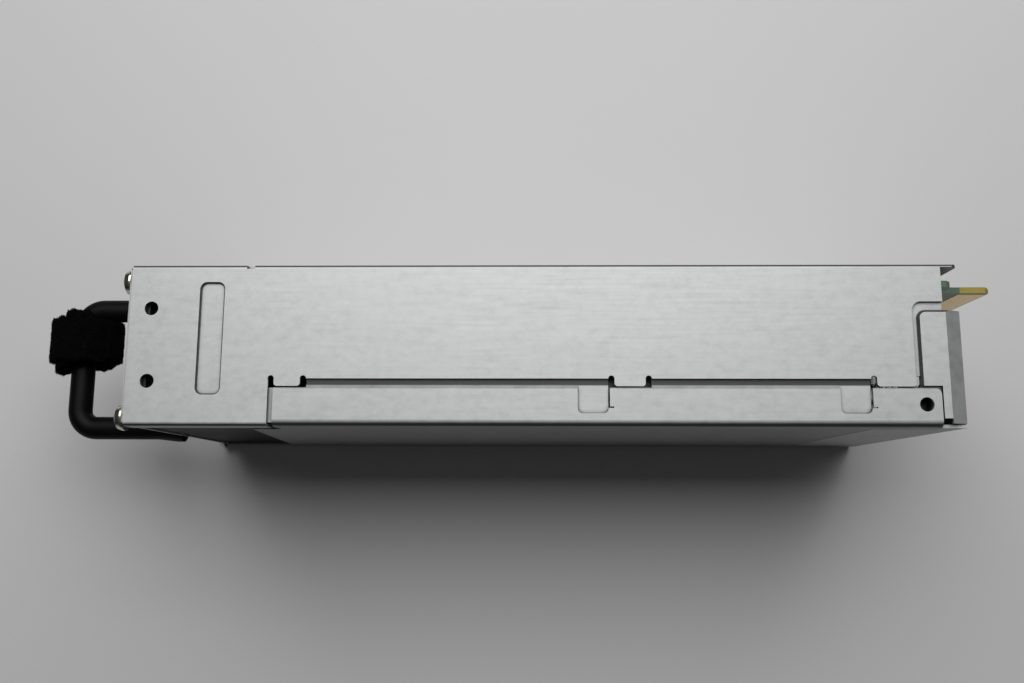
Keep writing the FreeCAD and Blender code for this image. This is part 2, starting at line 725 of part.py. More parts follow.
def make_front_plate():
    plate = new_body("front_plate")
    cut_high = "(inlet_high/2 + 0.2)"
    cut_wide = "(inlet_wide/2 + 0.2)"
    loops = [rect("plate_inset", "case_thick - plate_inset", "sheet + plate_gap",
                  "case_wide - sheet - plate_gap"),
             circle("fan_y", "fan_z", "fan_bore"),
             rect(f"inlet_y - {cut_high}", f"inlet_y + {cut_high}",
                  f"inlet_z - {cut_wide}", f"inlet_z + {cut_wide}"),
             rect("latch_slot_low", "latch_slot_high", "latch_z - latch_wide/2 - latch_gap",
                  "latch_z + latch_wide/2 + latch_gap"),
             circle("pipe_y", "pipe_z", "pipe_radius")]
    loops += [circle(y, "grip_z", "tenon_radius") for y in grip_places()]
    loops += [circle(y, z, "screw_clear") for y, z in plate_screw_places() + fan_screw_places()]
    extrude(plate, "plate_sheet", "YZ", loops, "-sheet", "0")
    round_edges(plate, "plate_corners", "1.0",
                any_of(*[runs("x", y=y, z=z) for y in ("plate_inset", "case_thick - plate_inset")
                         for z in ("sheet + plate_gap", "case_wide - sheet - plate_gap")]))
    node(plate, "front_plate")


def pan_head_screw(x, y, z, head_radius, head_high, core, length):
    """A cross-recessed screw along +X with its head's seat at x."""
    screw = spun("X", x, y, z,
                 [(f"-({head_high})", "0"), (f"-({head_high})", f"{head_radius}*0.5"),
                  (f"-({head_high})*0.7", f"{head_radius}*0.88"),
                  (f"-({head_high})*0.2", head_radius), ("0", head_radius),
                  ("0", core), (length, core), (length, "0")])
    arm, slot = value(head_radius), value(head_radius) * 0.25
    top = value(f"{x} - {head_high}")
    deep = value(head_high) * 0.5
    recess = [Part.makeBox(2 * deep, long_y, long_z,
                           FreeCAD.Vector(top - deep, value(y) - long_y / 2, value(z) - long_z / 2))
              for long_y, long_z in ((arm, slot), (slot, arm))]
    return screw.cut(recess)


def make_screws():
    plate = [pan_head_screw("-sheet", y, z, "head_radius", "head_high", "thread_radius",
                            "screw_long") for y, z in plate_screw_places()]
    node(shaped("plate_screws", Part.makeCompound(plate)), "front_plate_screws")
    fan = [pan_head_screw("-sheet", y, z, "fan_screw_head", "fan_screw_high", "fan_screw_core",
                          "fan_screw_long") for y, z in fan_screw_places()]
    node(shaped("frame_screws", Part.makeCompound(fan)), "fan_screws")


def make_handle():
    low, high = grip_places()
    bend_x = "-grip_x + grip_bend"
    legs = [rod(f"grip_leg_{index}", "X", bend_x, y, "grip_z", "grip_radius",
                "grip_x - grip_bend - sheet") for index, y in enumerate((low, high))]
    cross = rod("grip_cross", "Y", "-grip_x", f"{low} + grip_bend", "grip_z", "grip_radius",
                "grip_pitch - 2*grip_bend")
    bends = []
    for index, (y, start) in enumerate(((f"{low} + grip_bend", 180), (f"{high} - grip_bend", 90))):
        bend = doc.addObject("Part::Torus", f"grip_bend_{index}")
        bend.setExpression("Radius1", cells("grip_bend"))
        bend.setExpression("Radius2", cells("grip_radius"))
        bend.Angle3 = 90
        bend.Placement.Rotation = FreeCAD.Rotation(FreeCAD.Vector(0, 0, 1), start)
        for key, text in zip("xyz", (bend_x, y, "grip_z")):
            bend.setExpression("Placement.Base." + key, cells(text))
        bends.append(bend)
    ends = []
    for index, y in enumerate((low, high)):
        profile = [("rivet_high", "0"), ("rivet_high", "rivet_radius*0.7"),
                   ("rivet_high*0.6", "rivet_radius"), ("0", "rivet_radius"),
                   ("0", "tenon_radius"), ("-sheet", "tenon_radius"), ("-sheet", "ferrule_radius"),
                   ("-sheet - ferrule_long", "ferrule_radius"),
                   ("-sheet - ferrule_long - ferrule_cone", "grip_radius"),
                   ("-sheet - ferrule_long - ferrule_cone", "0")]
        ends.append(shaped(f"grip_end_{index}", spun("X", "0", y, "grip_z", profile)))
    node(join("grip", *legs, cross, *bends, *ends), "handle")


def make_strap():
    roll = rod("strap_roll", "Y", "-grip_x", "strap_low", "grip_z", "strap_radius", "strap_wide")
    bore = rod("strap_bore", "Y", "-grip_x", "strap_low - 1", "grip_z", "strap_hole",
               "strap_wide + 2")
    node(carve("strap_ring", roll, bore), "hook_and_loop_strap")


# ---------------------------------------------------------------- fan

def make_fan_frame():
    frame = new_body("fan_frame")
    half = "fan_side/2"
    square = rect(f"fan_y - {half}", f"fan_y + {half}", f"fan_z - {half}",
                  f"fan_z + {half}")
    back = "sheet + fan_deep"
    extrude(frame, "front_flange", "YZ", [square], "sheet", "sheet + fan_flange")
    extrude(frame, "duct", "YZ", [circle("fan_y", "fan_z", f"{half} - 0.1")],
            "sheet", back)
    extrude(frame, "back_flange", "YZ", [square], f"{back} - fan_flange", back)
    round_edges(frame, "frame_corners", "2",
                any_of(*[runs("x", y=f"fan_y {a} {half}", z=f"fan_z {b} {half}")
                         for a in "-+" for b in "-+"]))
    extrude(frame, "bore", "YZ", [circle("fan_y", "fan_z", "fan_bore")], "0",
            f"{back} + 1", cut=True)
    hub = "stator_radius + 1"
    extrude(frame, "motor_base", "YZ", [circle("fan_y", "fan_z", hub)],
            f"{back} - strut_deep", back)
    struts = [rect(f"fan_y - {half} + 1", f"fan_y + {half} - 1", f"fan_z - strut/2",
                   f"fan_z + strut/2")]
    extrude(frame, "struts_across", "YZ", struts, f"{back} - strut_deep", back)
    struts = [rect("fan_y - strut/2", "fan_y + strut/2", f"fan_z - {half} + 1",
                   f"fan_z + {half} - 1")]
    extrude(frame, "struts_up", "YZ", struts, f"{back} - strut_deep", back)
    extrude(frame, "screw_holes", "YZ",
            [circle(y, z, "fan_screw_core") for y, z in fan_screw_places()],
            "0", "sheet + fan_flange + 1", cut=True)
    reliefs = [circle(y, "case_wide - screw_in", "screw_clear + 0.4")
               for y, z in plate_screw_places()[1::2]]
    extrude(frame, "screw_tip_reliefs", "YZ", reliefs, "0", "screw_long", cut=True)
    node(frame, "fan_frame")


def blade(root, tip):
    """One twisted blade, lofted from hub to tip."""
    sections = []
    for radius, pitch, chord in ((root, math.radians(50), 9.5), (tip, math.radians(34), 12.0)):
        points = []
        for along_chord, camber in ((-0.5, 0.0), (-0.05, 1.5), (0.5, 0.0), (-0.05, 0.7)):
            run = along_chord * chord
            tangent = run * math.sin(pitch) + camber * math.cos(pitch)
            axial = run * math.cos(pitch) - camber * math.sin(pitch)
            points.append(FreeCAD.Vector(axial, tangent, radius))
        sections.append(Part.makePolygon(points + points[:1]))
    return Part.makeLoft(sections, True, True)


def make_fan_rotor():
    front = "sheet + hub_front"
    hub = spun("X", front, "fan_y", "fan_z",
               [("0", "shaft_radius"), ("0", "hub_radius - 0.8"), ("0.8", "hub_radius"),
                ("hub_deep", "hub_radius"), ("hub_deep", "hub_radius - hub_wall"),
                ("hub_wall*2", "hub_radius - hub_wall"), ("hub_wall*2", "shaft_radius")])
    middle = FreeCAD.Vector(value(f"{front} + hub_deep/2"), value("fan_y"), value("fan_z"))
    wing = blade(value("hub_radius - hub_wall + 0.05"), value("blade_tip"))
    wing.translate(middle)
    count = round(value("blades"))
    shapes = []
    for index in range(count):
        copy = wing.copy()
        copy.rotate(middle, FreeCAD.Vector(1, 0, 0), 360.0 * index / count)
        shapes.append(copy)
    node(shaped("fan_wheel", hub.fuse(shapes).removeSplitter()), "fan_rotor")
    magnet = spun("X", front, "fan_y", "fan_z",
                  [("hub_wall*2 + 0.5", "hub_radius - hub_wall - magnet"),
                   ("hub_wall*2 + 0.5", "hub_radius - hub_wall"),
                   ("hub_deep - 0.5", "hub_radius - hub_wall"),
                   ("hub_deep - 0.5", "hub_radius - hub_wall - magnet")])
    node(shaped("rotor_magnet", magnet), "fan_magnet")
    shaft = rod("rotor_shaft", "X", front, "fan_y", "fan_z", "shaft_radius",
                "fan_deep - strut_deep - hub_front - 0.5")
    node(shaft, "fan_shaft")


def make_fan_stator():
    front = "sheet + hub_front + hub_wall*2 + 0.6"
    back = "sheet + fan_deep - strut_deep"
    coil_long = "hub_deep - hub_wall*2 - 1.2"
    base = "stator_radius*0.6"
    stator = spun("X", front, "fan_y", "fan_z",
                  [("0", "bearing_radius"), ("0", "stator_radius*0.8"), ("1", "stator_radius"),
                   (coil_long, "stator_radius"), (coil_long, base),
                   (f"{back} - ({front})", base), (f"{back} - ({front})", "bearing_radius")])
    node(shaped("motor_stator", stator), "fan_stator")
    inner = "shaft_radius + shaft_fit"
    bearings = []
    for start in (front, f"{back} - bearing_long - 1"):
        bearings.append(spun("X", start, "fan_y", "fan_z",
                             [("0", inner), ("0", "bearing_radius"),
                              ("bearing_long", "bearing_radius"), ("bearing_long", inner)]))
    node(shaped("shaft_bearings", Part.makeCompound(bearings)), "fan_bearings")


def make_fan_guard():
    guard = new_body("guard_blank")
    extrude(guard, "guard_disc", "YZ", [circle("fan_y", "fan_z", "guard_radius")], "0", "sheet")
    for index, (y, z) in enumerate(fan_screw_places()):
        way = "+" if index else "-"
        back = "-" if index else "+"
        ear = [(f"{y} {way} 2", f"{z} + 2"), (f"{y} {back} 2", f"{z} - 2"),
               (f"fan_y {way} 6", f"fan_z - 10"), (f"fan_y {way} 10", f"fan_z - 6")]
        extrude(guard, f"guard_ear_{index}", "YZ", [ear], "0", "sheet")
        extrude(guard, f"ear_end_{index}", "YZ", [circle(y, z, "screw_clear + 1.2")], "0", "sheet")
    extrude(guard, "guard_screw_holes", "YZ",
            [circle(y, z, "screw_clear") for y, z in fan_screw_places()], "-1", "2*sheet",
            cut=True)
    across = value("guard_hole")
    limit = value("fan_bore") - across / math.sqrt(3) - 0.4
    centres = hexagon_grid(across, value("guard_web"), 2 * limit, 2 * limit,
                           lambda u, v: math.hypot(u, v) < limit)
    holes = shaped("guard_holes", hexagon_prisms(-1.0, value("3*sheet"), value("fan_y"),
                                                 value("fan_z"), across, centres))
    node(carve("guard_grille", guard, holes), "fan_guard")


# ---------------------------------------------------------------- mains inlet

def blade_places():
    return [("inlet_y - earth_shift/2", "inlet_z - blade_pitch"),
            ("inlet_y - earth_shift/2", "inlet_z + blade_pitch"),
            ("inlet_y + earth_shift/2", "inlet_z")]


def socket_outline(half_high, half_wide, corner):
    """A rectangle whose two corners beside the earth blade are cut off."""
    low, high = f"inlet_y - {half_high}", f"inlet_y + {half_high}"
    left, right = f"inlet_z - {half_wide}", f"inlet_z + {half_wide}"
    return [(low, left), (f"{high} - {corner}", left), (high, f"{left} + {corner}"),
            (high, f"{right} - {corner}"), (f"{high} - {corner}", right), (low, right)]


def make_inlet():
    inlet = new_body("inlet_body")
    rim_high, rim_wide = "(inlet_high/2 + inlet_rim)", "(inlet_wide/2 + inlet_rim)"
    extrude(inlet, "inlet_rim_pad", "YZ",
            [rect(f"inlet_y - {rim_high}", f"inlet_y + {rim_high}",
                  f"inlet_z - {rim_wide}", f"inlet_z + {rim_wide}")],
            "-sheet - inlet_rim_thick", "-sheet")
    round_edges(inlet, "rim_corners", "2",
                any_of(*[runs("x", y=f"inlet_y {a} {rim_high}", z=f"inlet_z {b} {rim_wide}")
                         for a in "-+" for b in "-+"]))
    extrude(inlet, "inlet_shroud", "YZ",
            [socket_outline("inlet_high/2", "inlet_wide/2", "socket_corner")],
            "-sheet - inlet_rim_thick/2", "inlet_deep")
    extrude(inlet, "socket", "YZ",
            [socket_outline("socket_high/2", "socket_wide/2", "socket_corner")],
            "-sheet - inlet_rim_thick - 1", "socket_deep", cut=True)
    slots = [rect(f"{y} - blade_wide/2", f"{y} + blade_wide/2",
                  f"{z} - blade_thick/2", f"{z} + blade_thick/2") for y, z in blade_places()]
    extrude(inlet, "blade_slots", "YZ", slots, "socket_deep - 1", "inlet_deep + 1", cut=True)
    node(inlet, "inlet_body")
    blades = []
    for index, (y, z) in enumerate(blade_places()):
        front = box(f"inlet_blade_{index}", "blade_front", "inlet_deep", f"{y} - blade_wide/2",
                    f"{y} + blade_wide/2", f"{z} - blade_thick/2", f"{z} + blade_thick/2")
        spade = box(f"inlet_spade_{index}", "inlet_deep", "inlet_deep + spade_long",
                    f"{y} - blade_wide/2", f"{y} + blade_wide/2",
                    f"{z} - spade_thick/2", f"{z} + spade_thick/2")
        blades.append(join(f"inlet_pin_{index}", front, spade))
    node(together("inlet_pins", blades), "inlet_blades")


# ---------------------------------------------------------------- release latch

def make_latch():
    low, high = "latch_z - latch_wide/2", "latch_z + latch_wide/2"
    arm_low = "latch_pivot_y - latch_thick/5"
    arm_top = f"{arm_low} + latch_thick"
    latch = new_body("latch_lever")
    catch_top = "case_thick + catch_out"
    profile = [("latch_pivot_x", arm_low), ("latch_pivot_x", arm_top),
               ("catch_back + catch_long", arm_top),
               ("catch_back + catch_long", "case_thick - sheet"),
               ("catch_back + 1.6", catch_top), ("catch_back", catch_top),
               ("catch_back", arm_top), ("-3", arm_top), ("-latch_reach + 1", f"{arm_top} + 1"),
               ("-latch_reach", f"{arm_top} + 0.4"), ("-latch_reach", f"{arm_low} - 0.4"),
               ("-4", arm_low)]
    extrude(latch, "lever_profile", "XY", [profile], low, high)
    extrude(latch, "barrel", "XY", [circle("latch_pivot_x", "latch_pivot_y", "latch_barrel")],
            low, high)
    extrude(latch, "pin_bore", "XY",
            [circle("latch_pivot_x", "latch_pivot_y", "latch_pin_radius + latch_fit")],
            f"{low} - 1", f"{high} + 1", cut=True)
    ribs = [rect(f"-latch_reach + {2 + 2 * k}", f"-latch_reach + {2.8 + 2 * k}",
                 f"{arm_top} - 0.1", f"{arm_top} + 2") for k in range(4)]
    extrude(latch, "thumb_grooves", "XY", ribs, f"{low} + 1.2", f"{high} - 1.2", cut=True)
    node(latch, "release_latch")

    bracket = new_body("bracket_fold")
    outside_low = f"{low} - bracket_gap - sheet"
    outside_high = f"{high} + bracket_gap + sheet"
    front, back = "latch_pivot_x - 2.6", "latch_pivot_x + 2.6"
    inside = "case_thick - sheet"
    extrude(bracket, "bracket_top", "XZ", [rect(front, back, outside_low, outside_high)],
            f"{inside} - sheet", inside)
    for side, start in (("low", outside_low), ("high", f"{high} + bracket_gap")):
        extrude(bracket, f"{side}_ear", "XY", [rect(front, back, "bracket_low", inside)],
                start, f"{start} + sheet")
    extrude(bracket, "spring_seat", "XZ",
            [rect("latch_pivot_x - 6", front, outside_low, outside_high),
             ], "bracket_low", "bracket_low + sheet")
    extrude(bracket, "seat_bridge", "XZ",
            [rect(f"{front} - 0.1", back, outside_low, outside_high)],
            "bracket_low", "bracket_low + sheet")
    extrude(bracket, "pin_holes", "XY",
            [circle("latch_pivot_x", "latch_pivot_y", "latch_pin_radius")],
            f"{outside_low} - 1", f"{outside_high} + 1", cut=True)
    node(bracket, "latch_bracket")

    pin = rod("pivot", "Z", "latch_pivot_x", "latch_pivot_y", f"{outside_low} - 0.5",
              "latch_pin_radius", f"{outside_high} - ({outside_low}) + 1")
    node(pin, "latch_pin")

    spring = new_body("leaf_spring")
    seat = "bracket_low + sheet"
    tip_y = f"{arm_low} - 0.1"
    leaf = [(back, seat), (back, f"{seat} + leaf"), ("latch_pivot_x - 6", f"{seat} + leaf"),
            ("catch_back + 1", tip_y), ("catch_back", tip_y), ("catch_back", f"{tip_y} - leaf"),
            ("catch_back + 1", f"{tip_y} - leaf"), ("latch_pivot_x - 6", seat)]
    extrude(spring, "leaf", "XY", [leaf], f"{low} + 2.5", f"{high} - 2.5")
    node(spring, "latch_spring")


# ---------------------------------------------------------------- main board

def post_places():
    return [(x, z) for x in ("post_front", "post_back")
            for z in ("post_in", "case_wide - post_in")]


def make_board():
    board = new_body("main_board")
    top = "case_wide - board_side"
    outline = [("board_front", "board_side"), ("board_end - board_corner", "board_side"),
               ("board_end", "board_side + board_corner"), ("board_end", "edge_low")]
    for low, high in (("edge_low", "edge_key_low"), ("edge_key_high", "edge_high")):
        outline += [("tongue_end - tongue_corner", low), ("tongue_end", f"{low} + tongue_corner"),
                    ("tongue_end", f"{high} - tongue_corner"),
                    ("tongue_end - tongue_corner", high)]
        if low == "edge_low":
            outline += [("edge_key_end", "edge_key_low"), ("edge_key_end", "edge_key_high")]
    outline += [("board_end", "edge_high"), ("board_end", f"{top} - board_corner"),
                ("board_end - board_corner", top), ("board_front", top)]
    extrude(board, "board_sheet", "XZ", [outline], "board_low", "board_low + board")
    round_edges(board, "edge_bevels", "edge_bevel",
                any_of(runs("z", x="tongue_end", y="board_low"),
                       runs("z", x="tongue_end", y="board_low + board")), "PartDesign::Chamfer")
    extrude(board, "board_holes", "XZ", [circle(x, z, "board_hole") for x, z in post_places()],
            "board_low - 1", "board_low + board + 1", cut=True)
    node(board, "main_board")

    fingers = []
    faces = (("board_low - gold", "board_low"), ("board_low + board", "board_low + board + gold"))
    end = "tongue_end - edge_bevel - 0.3"
    upper = [("edge_key_high + 1", "edge_high - 1")]
    lower = [(f"edge_low + 1 + {k}*1.9", f"edge_low + 2.2 + {k}*1.9") for k in range(9)]
    lower += [(f"edge_low + 18.2 + {k}*8.9", f"edge_low + 26.5 + {k}*8.9") for k in range(2)]
    for side, (y0, y1) in enumerate(faces):
        for index, (z0, z1) in enumerate(upper + lower):
            fingers.append(box(f"finger_{side}_{index}", "gold_front", end, y0, y1, z0, z1))
    node(together("fingers", fingers), "edge_contacts")

    posts = [spun("Y", x, "board_low + board", z,
                  [("0", "thread_radius"), ("0", "post_radius"),
                   ("case_thick - sheet - board_low - board", "post_radius"),
                   ("case_thick - sheet - board_low - board", "thread_radius")])
             for x, z in post_places()]
    node(shaped("posts", Part.makeCompound(posts)), "board_standoffs")
    screws = [spun("Y", x, "board_low", z,
                   [("-post_head_high", "0"), ("-post_head_high", "post_head*0.6"),
                    ("-post_head_high*0.5", "post_head*0.95"), ("0", "post_head"),
                    ("0", "thread_radius"), ("board + 2.5", "thread_radius"),
                    ("board + 2.5", "0")]) for x, z in post_places()]
    node(shaped("board_fixings", Part.makeCompound(screws)), "board_screws")

    film = new_body("base_film")
    loops = [rect("board_front + 1", "post_back + post_in", "board_side", "case_wide - board_side")]
    loops += [circle(x, z, "post_radius + 0.4") for x, z in post_places()]
    extrude(film, "base_film_sheet", "XZ", loops, "case_thick - sheet - film",
            "case_thick - sheet")
    node(film, "base_insulator")
    node(box("cover_film_sheet", "sheet + 0.2", "front_deep + 26", "sheet",
             "sheet + cover_film", "2*sheet + 0.3", "case_wide - 2*sheet - 0.3"),
         "front_insulator")


def deep(x):
    """A place along the board, which moves with the board's length."""
    return f"(board_front + ({x} - 36)*along)"


def wide(z):
    """A place across the case, which moves with the case's width."""
    return f"({z})*across"


def tall(length):
    """A height or a radius on the board, which grows with the case's thickness."""
    return f"({length})*rise"


def on_board(name, x0, x1, z0, z1, high, stand="0"):
    """A block that hangs from the board towards the cover."""
    return box(name, deep(x0), deep(x1), f"board_low - {tall(stand)} - {tall(high)}",
               f"board_low - {tall(stand)}", wide(z0), wide(z1))


def ring_core(name, axis, x, y, z, outer, inner, thick):
    solid = rod(name + "_outside", axis, x, y, z, tall(outer), tall(thick))
    hole = rod(name + "_inside", axis, x, y, z, tall(inner), tall(thick))
    return carve(name, solid, hole)


def make_mains_parts():
    fuse_z = wide(8.6)
    node(join("fuse_whole",
              rod("fuse_glass", "X", deep(48), "board_low - 4*rise", fuse_z, tall(2.3),
                  "15*along"),
              rod("fuse_cap_a", "X", deep(47), "board_low - 4*rise", fuse_z, tall(2.6),
                  "4.5*along"),
              rod("fuse_cap_b", "X", deep(59.5), "board_low - 4*rise", fuse_z, tall(2.6),
                  "4.5*along"),
              on_board("fuse_clip_a", "48", "51", "7.4", "9.8", "3"),
              on_board("fuse_clip_b", "60", "63", "7.4", "9.8", "3")), "fuse")
    node(together("film_caps", [on_board("film_cap_a", "40", "58", "13.5", "22.5", "15"),
                                on_board("film_cap_b", "59.5", "74.5", "45.5", "54.5", "14")]),
         "x_capacitors")
    core = ring_core("line_core", "X", deep(46), "board_low - 13*rise", wide(34), "11", "5.5", "12")
    node(core, "line_choke_core")
    windings = []
    for index, (y0, y1) in enumerate((("board_low - 25.5*rise", "board_low - 15*rise"),
                                      ("board_low - 11*rise", "board_low"))):
        coil = box(f"line_coil_{index}", deep(46) + " - 1.5*rise", deep(46) + " + 13.5*rise",
                   y0, y1, wide(34) + " - 8*rise", wide(34) + " + 8*rise")
        room = rod(f"line_room_{index}", "X", deep(46), "board_low - 13*rise", wide(34),
                   tall(11), tall(12))
        windings.append(carve(f"line_winding_{index}", coil, room))
    node(together("line_windings", windings), "line_choke_windings")
    node(on_board("relay_case", "62", "72", "26", "42", "19"), "relay")
    node(on_board("rectifier_case", "64.5", "68.5", "8", "23", "20"), "bridge_rectifier")


def make_power_parts():
    core_x, core_z = "(board_front + 20*rise)", wide(68)
    core = ring_core("pfc_core", "Y", core_x, "board_low - 14*rise", core_z, "12", "5", "13")
    node(core, "pfc_choke_core")
    turns = []
    count = 14
    for index in range(count):
        angle = 2 * math.pi * index / count
        loop = box(f"pfc_turn_{index}", core_x + " + 4.2*rise", core_x + " + 12.8*rise",
                   "board_low - 15*rise", "board_low", core_z + " - 0.8*rise",
                   core_z + " + 0.8*rise")
        turns.append((loop, angle))
    doc.recompute()
    ring = core.Shape
    middle = FreeCAD.Vector(value(core_x), 0, value(core_z))
    windings = []
    for loop, angle in turns:
        turn = loop.Shape.copy()
        turn.rotate(middle, FreeCAD.Vector(0, 1, 0), math.degrees(angle))
        windings.append(turn.cut(ring))
        doc.removeObject(loop.Name)
    node(shaped("pfc_turns", Part.makeCompound(windings)), "pfc_choke_winding")

    cans = [spun("Y", x, "board_low - can_high", z,
                 [("0", "0"), ("0", "can_radius - 1"), ("1", "can_radius"),
                  ("can_high - 3.4", "can_radius"), ("can_high - 2.8", "can_radius - 0.7"),
                  ("can_high - 2.2", "can_radius"), ("can_high", "can_radius"),
                  ("can_high", "0")]) for x, z in ((deep(86), wide(15)), (deep(86), wide(39)))]
    node(shaped("mains_cans", Part.makeCompound(cans)), "bulk_capacitors")

    node(sink("primary_sink", "76", "128", "62", "60", "29"), "primary_heat_sink")
    node(together("power_tabs", [on_board(f"power_tab_{k}", f"{80 + 17 * k}", f"{94 + 17 * k}",
                                          "57", "60", "20", "3") for k in range(3)]),
         "primary_transistors")
    yoke = on_board("core_outside", "103", "135", "12", "46", "27")
    window = box("core_window", deep(108), deep(130), "board_low - 22*rise", "board_low - 5*rise",
                 wide(11), wide(47))
    leg = box("core_leg", deep(115), deep(123), "board_low - 22.5*rise", "board_low - 4.5*rise",
              wide(12), wide(46))
    node(join("core_whole", carve("core_frame", yoke, window), leg), "transformer_core")
    coil = box("coil_block", deep(108.3), deep(129.7), "board_low - 21.6*rise", "board_low - 5.4*rise",
               wide(9), wide(49))
    slot = box("coil_slot", deep(115), deep(123), "board_low - 22*rise", "board_low - 5*rise",
               wide(8), wide(50))
    ends = [box(f"coil_end_{index}", deep(108.3), deep(129.7), "board_low - 21.6*rise",
                "board_low - 5.4*rise", wide(z0), wide(z1))
            for index, (z0, z1) in enumerate(((7.5, 11.8), (46.2, 50.5)))]
    node(join("coil_whole", carve("coil_sides", coil, slot), *ends), "transformer_winding")

    node(sink("secondary_sink", "140", "178", "56", "54", "26"), "secondary_heat_sink")
    node(together("rectifier_tabs", [on_board(f"rectifier_tab_{k}", f"{142 + 12 * k}",
                                              f"{152 + 12 * k}", "51", "54", "15", "3")
                                     for k in range(3)]), "secondary_transistors")
    node(on_board("output_coil", "144", "166", "14", "36", "20"), "output_choke")
    small = [rod(f"small_can_{row}_{column}", "Y", f"{deep(173.5)} + small_can_pitch*{column}",
                 "board_low - small_can_high", f"{wide(18)} + small_can_pitch*{row}", "small_can_radius",
                 "small_can_high") for row in range(3) for column in range(2)]
    node(together("small_cans", small), "output_capacitors")


def sink(name, x0, x1, root, wall, high):
    """An aluminium plate with fins towards +Z, standing on the board."""
    body = new_body(name)
    x0, x1, root, wall = deep(x0), deep(x1), wide(root), wide(wall)
    outline = [(x0, wall), (x1, wall)]
    count = 7
    pitch = (value(x1) - value(x0) - 1.6) / (count - 1)
    tips = []
    for k in range(count - 1, -1, -1):
        left = f"{x0} + {pitch:.4g}*{k}"
        right = f"{x0} + {pitch:.4g}*{k} + 1.6*along" if k < count - 1 else x1
        tip = f"{root} + 11*across"
        tips += [(right, root), (right, tip), (left, tip), (left, root)]
    outline += tips[1:-1]
    extrude(body, name + "_section", "XZ", [outline], f"board_low - {high}", "board_low")
    return body


def make_small_parts():
    face = wide(80)
    node(box("daughter_board", deep(82), deep(132), "board_low - 26*rise", "board_low", face,
             face + " + 1.2*rise"), "control_board")
    chips = [box(f"chip_{k}", deep(86 + 15 * k), deep(96 + 15 * k), f"board_low - {18 - 2 * k}*rise",
                 f"board_low - {10 - 2 * k}*rise", face + " - 1.6*rise", face) for k in range(3)]
    node(together("chips", chips), "control_chips")
    node(box("lead_socket", "board_front + 4", "board_front + 12", "board_low - 6*rise", "board_low",
             "socket_z - 3.5", "socket_z + 3.5"), "fan_connector")
    node(box("led_block", "board_front + 1", "board_front + 3.2", "board_low - 5.2*rise", "board_low",
             "pipe_z - 1.9", "pipe_z + 2.5"), "status_led")
    node(rod("light_rod", "X", "-sheet - pipe_out", "pipe_y", "pipe_z", "pipe_radius",
             "board_front + 1 + sheet + pipe_out"), "status_light_pipe")
    lug_low = "case_thick - sheet - lug_thick"
    node(shaped("stud", spun("Y", "stud_x", lug_low, "stud_z",
                             [("-3", "0"), ("-3", "1.5"), ("-2.4", "1.5"), ("-2.4", "2.7"),
                              ("0", "2.7"), ("0", "1.5"), ("lug_thick", "1.5"),
                              ("lug_thick", "0")])), "earth_stud")
    lug = carve("lug_ring",
                join("lug_blank",
                     rod("lug_plate", "Y", "stud_x", lug_low, "stud_z", "3", "lug_thick"),
                     box("lug_tongue", "stud_x", "stud_x + 6.4", lug_low, "case_thick - sheet",
                         "stud_z - 1.2", "stud_z + 1.6")),
                rod("lug_hole", "Y", "stud_x", f"{lug_low} - 1", "stud_z", "1.5", "3"))
    node(lug, "earth_lug")


def wire_run(name, points, radius):
    """A wire through points given as expressions."""
    places = [FreeCAD.Vector(*[value(text) for text in point]) for point in points]
    return node(shaped(name + "_run", tube_along(places, value(radius))), name)


def make_wires():
    start = "inlet_deep + spade_long"
    for name, (y, z) in zip(("live_wire", "neutral_wire"), blade_places()):
        wire_run(name, [(start, y, z), (f"{start} + 5.5", y, z),
                        ("board_front + 2.2", f"{y} + 6.5", z), ("board_front + 2.2", "board_low", z)],
                 "wire_radius")
    y, z = blade_places()[2]
    bend = f"{start} + 3.2"
    wire_run("earth_wire", [(start, y, z), (bend, y, z), (bend, f"{y} + 9", "stud_z + 0.2"),
                            (bend, "case_thick - sheet - lug_thick", "stud_z + 0.2")], "wire_radius")
    back = "sheet + fan_deep"
    leave = f"fan_z - 5"
    wire_run("fan_lead", [(back, "fan_y + 4", leave), (f"{back} + 5.5", "fan_y + 4", leave),
                          (f"{back} + 5.5", "board_low - 3", "socket_z"),
                          ("board_front + 3.85", "board_low - 3", "socket_z")], "lead_radius")


# ---------------------------------------------------------------- build and write

def check(thing):
    if "Invalid" in thing.State or "Error" in thing.State:
        raise RuntimeError(f"{thing.Label} failed: {thing.State}")


make_chassis_tray()
make_slide_cover()
make_rear_cover()
make_front_plate()
make_screws()
make_handle()
make_strap()
make_fan_frame()
make_fan_rotor()
make_fan_stator()
make_fan_guard()
make_inlet()
make_latch()
make_board()
make_mains_parts()
make_power_parts()
make_small_parts()
make_wires()

doc.recompute()
for thing in doc.Objects:
    check(thing)
os.makedirs("parts", exist_ok=True)
for part in NODES:
    if part.Shape.isNull() or not part.Shape.isValid():
        raise RuntimeError(part.Label + " has no valid shape")
to_origin = FreeCAD.Vector(-value("case_deep/2"), -value("case_thick/2"), 0)
for part in NODES:
    part.Shape.translated(to_origin).exportStep(f"parts/{part.Label}.step")
    print(f"{part.Label}: {len(part.Shape.Solids)} solid(s), {part.Shape.Volume:.1f} mm3")
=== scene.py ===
"""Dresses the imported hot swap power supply.

It adds the materials, the wound strap, the cut edges of the board and the studio.

Positions are given in millimetres from the case's lower front corner on the cover side:
X towards the card edge, Y from the sliding cover to the base, Z up.
"""
import math
import random

import bpy
import bmesh
from mathutils import Matrix, Quaternion, Vector


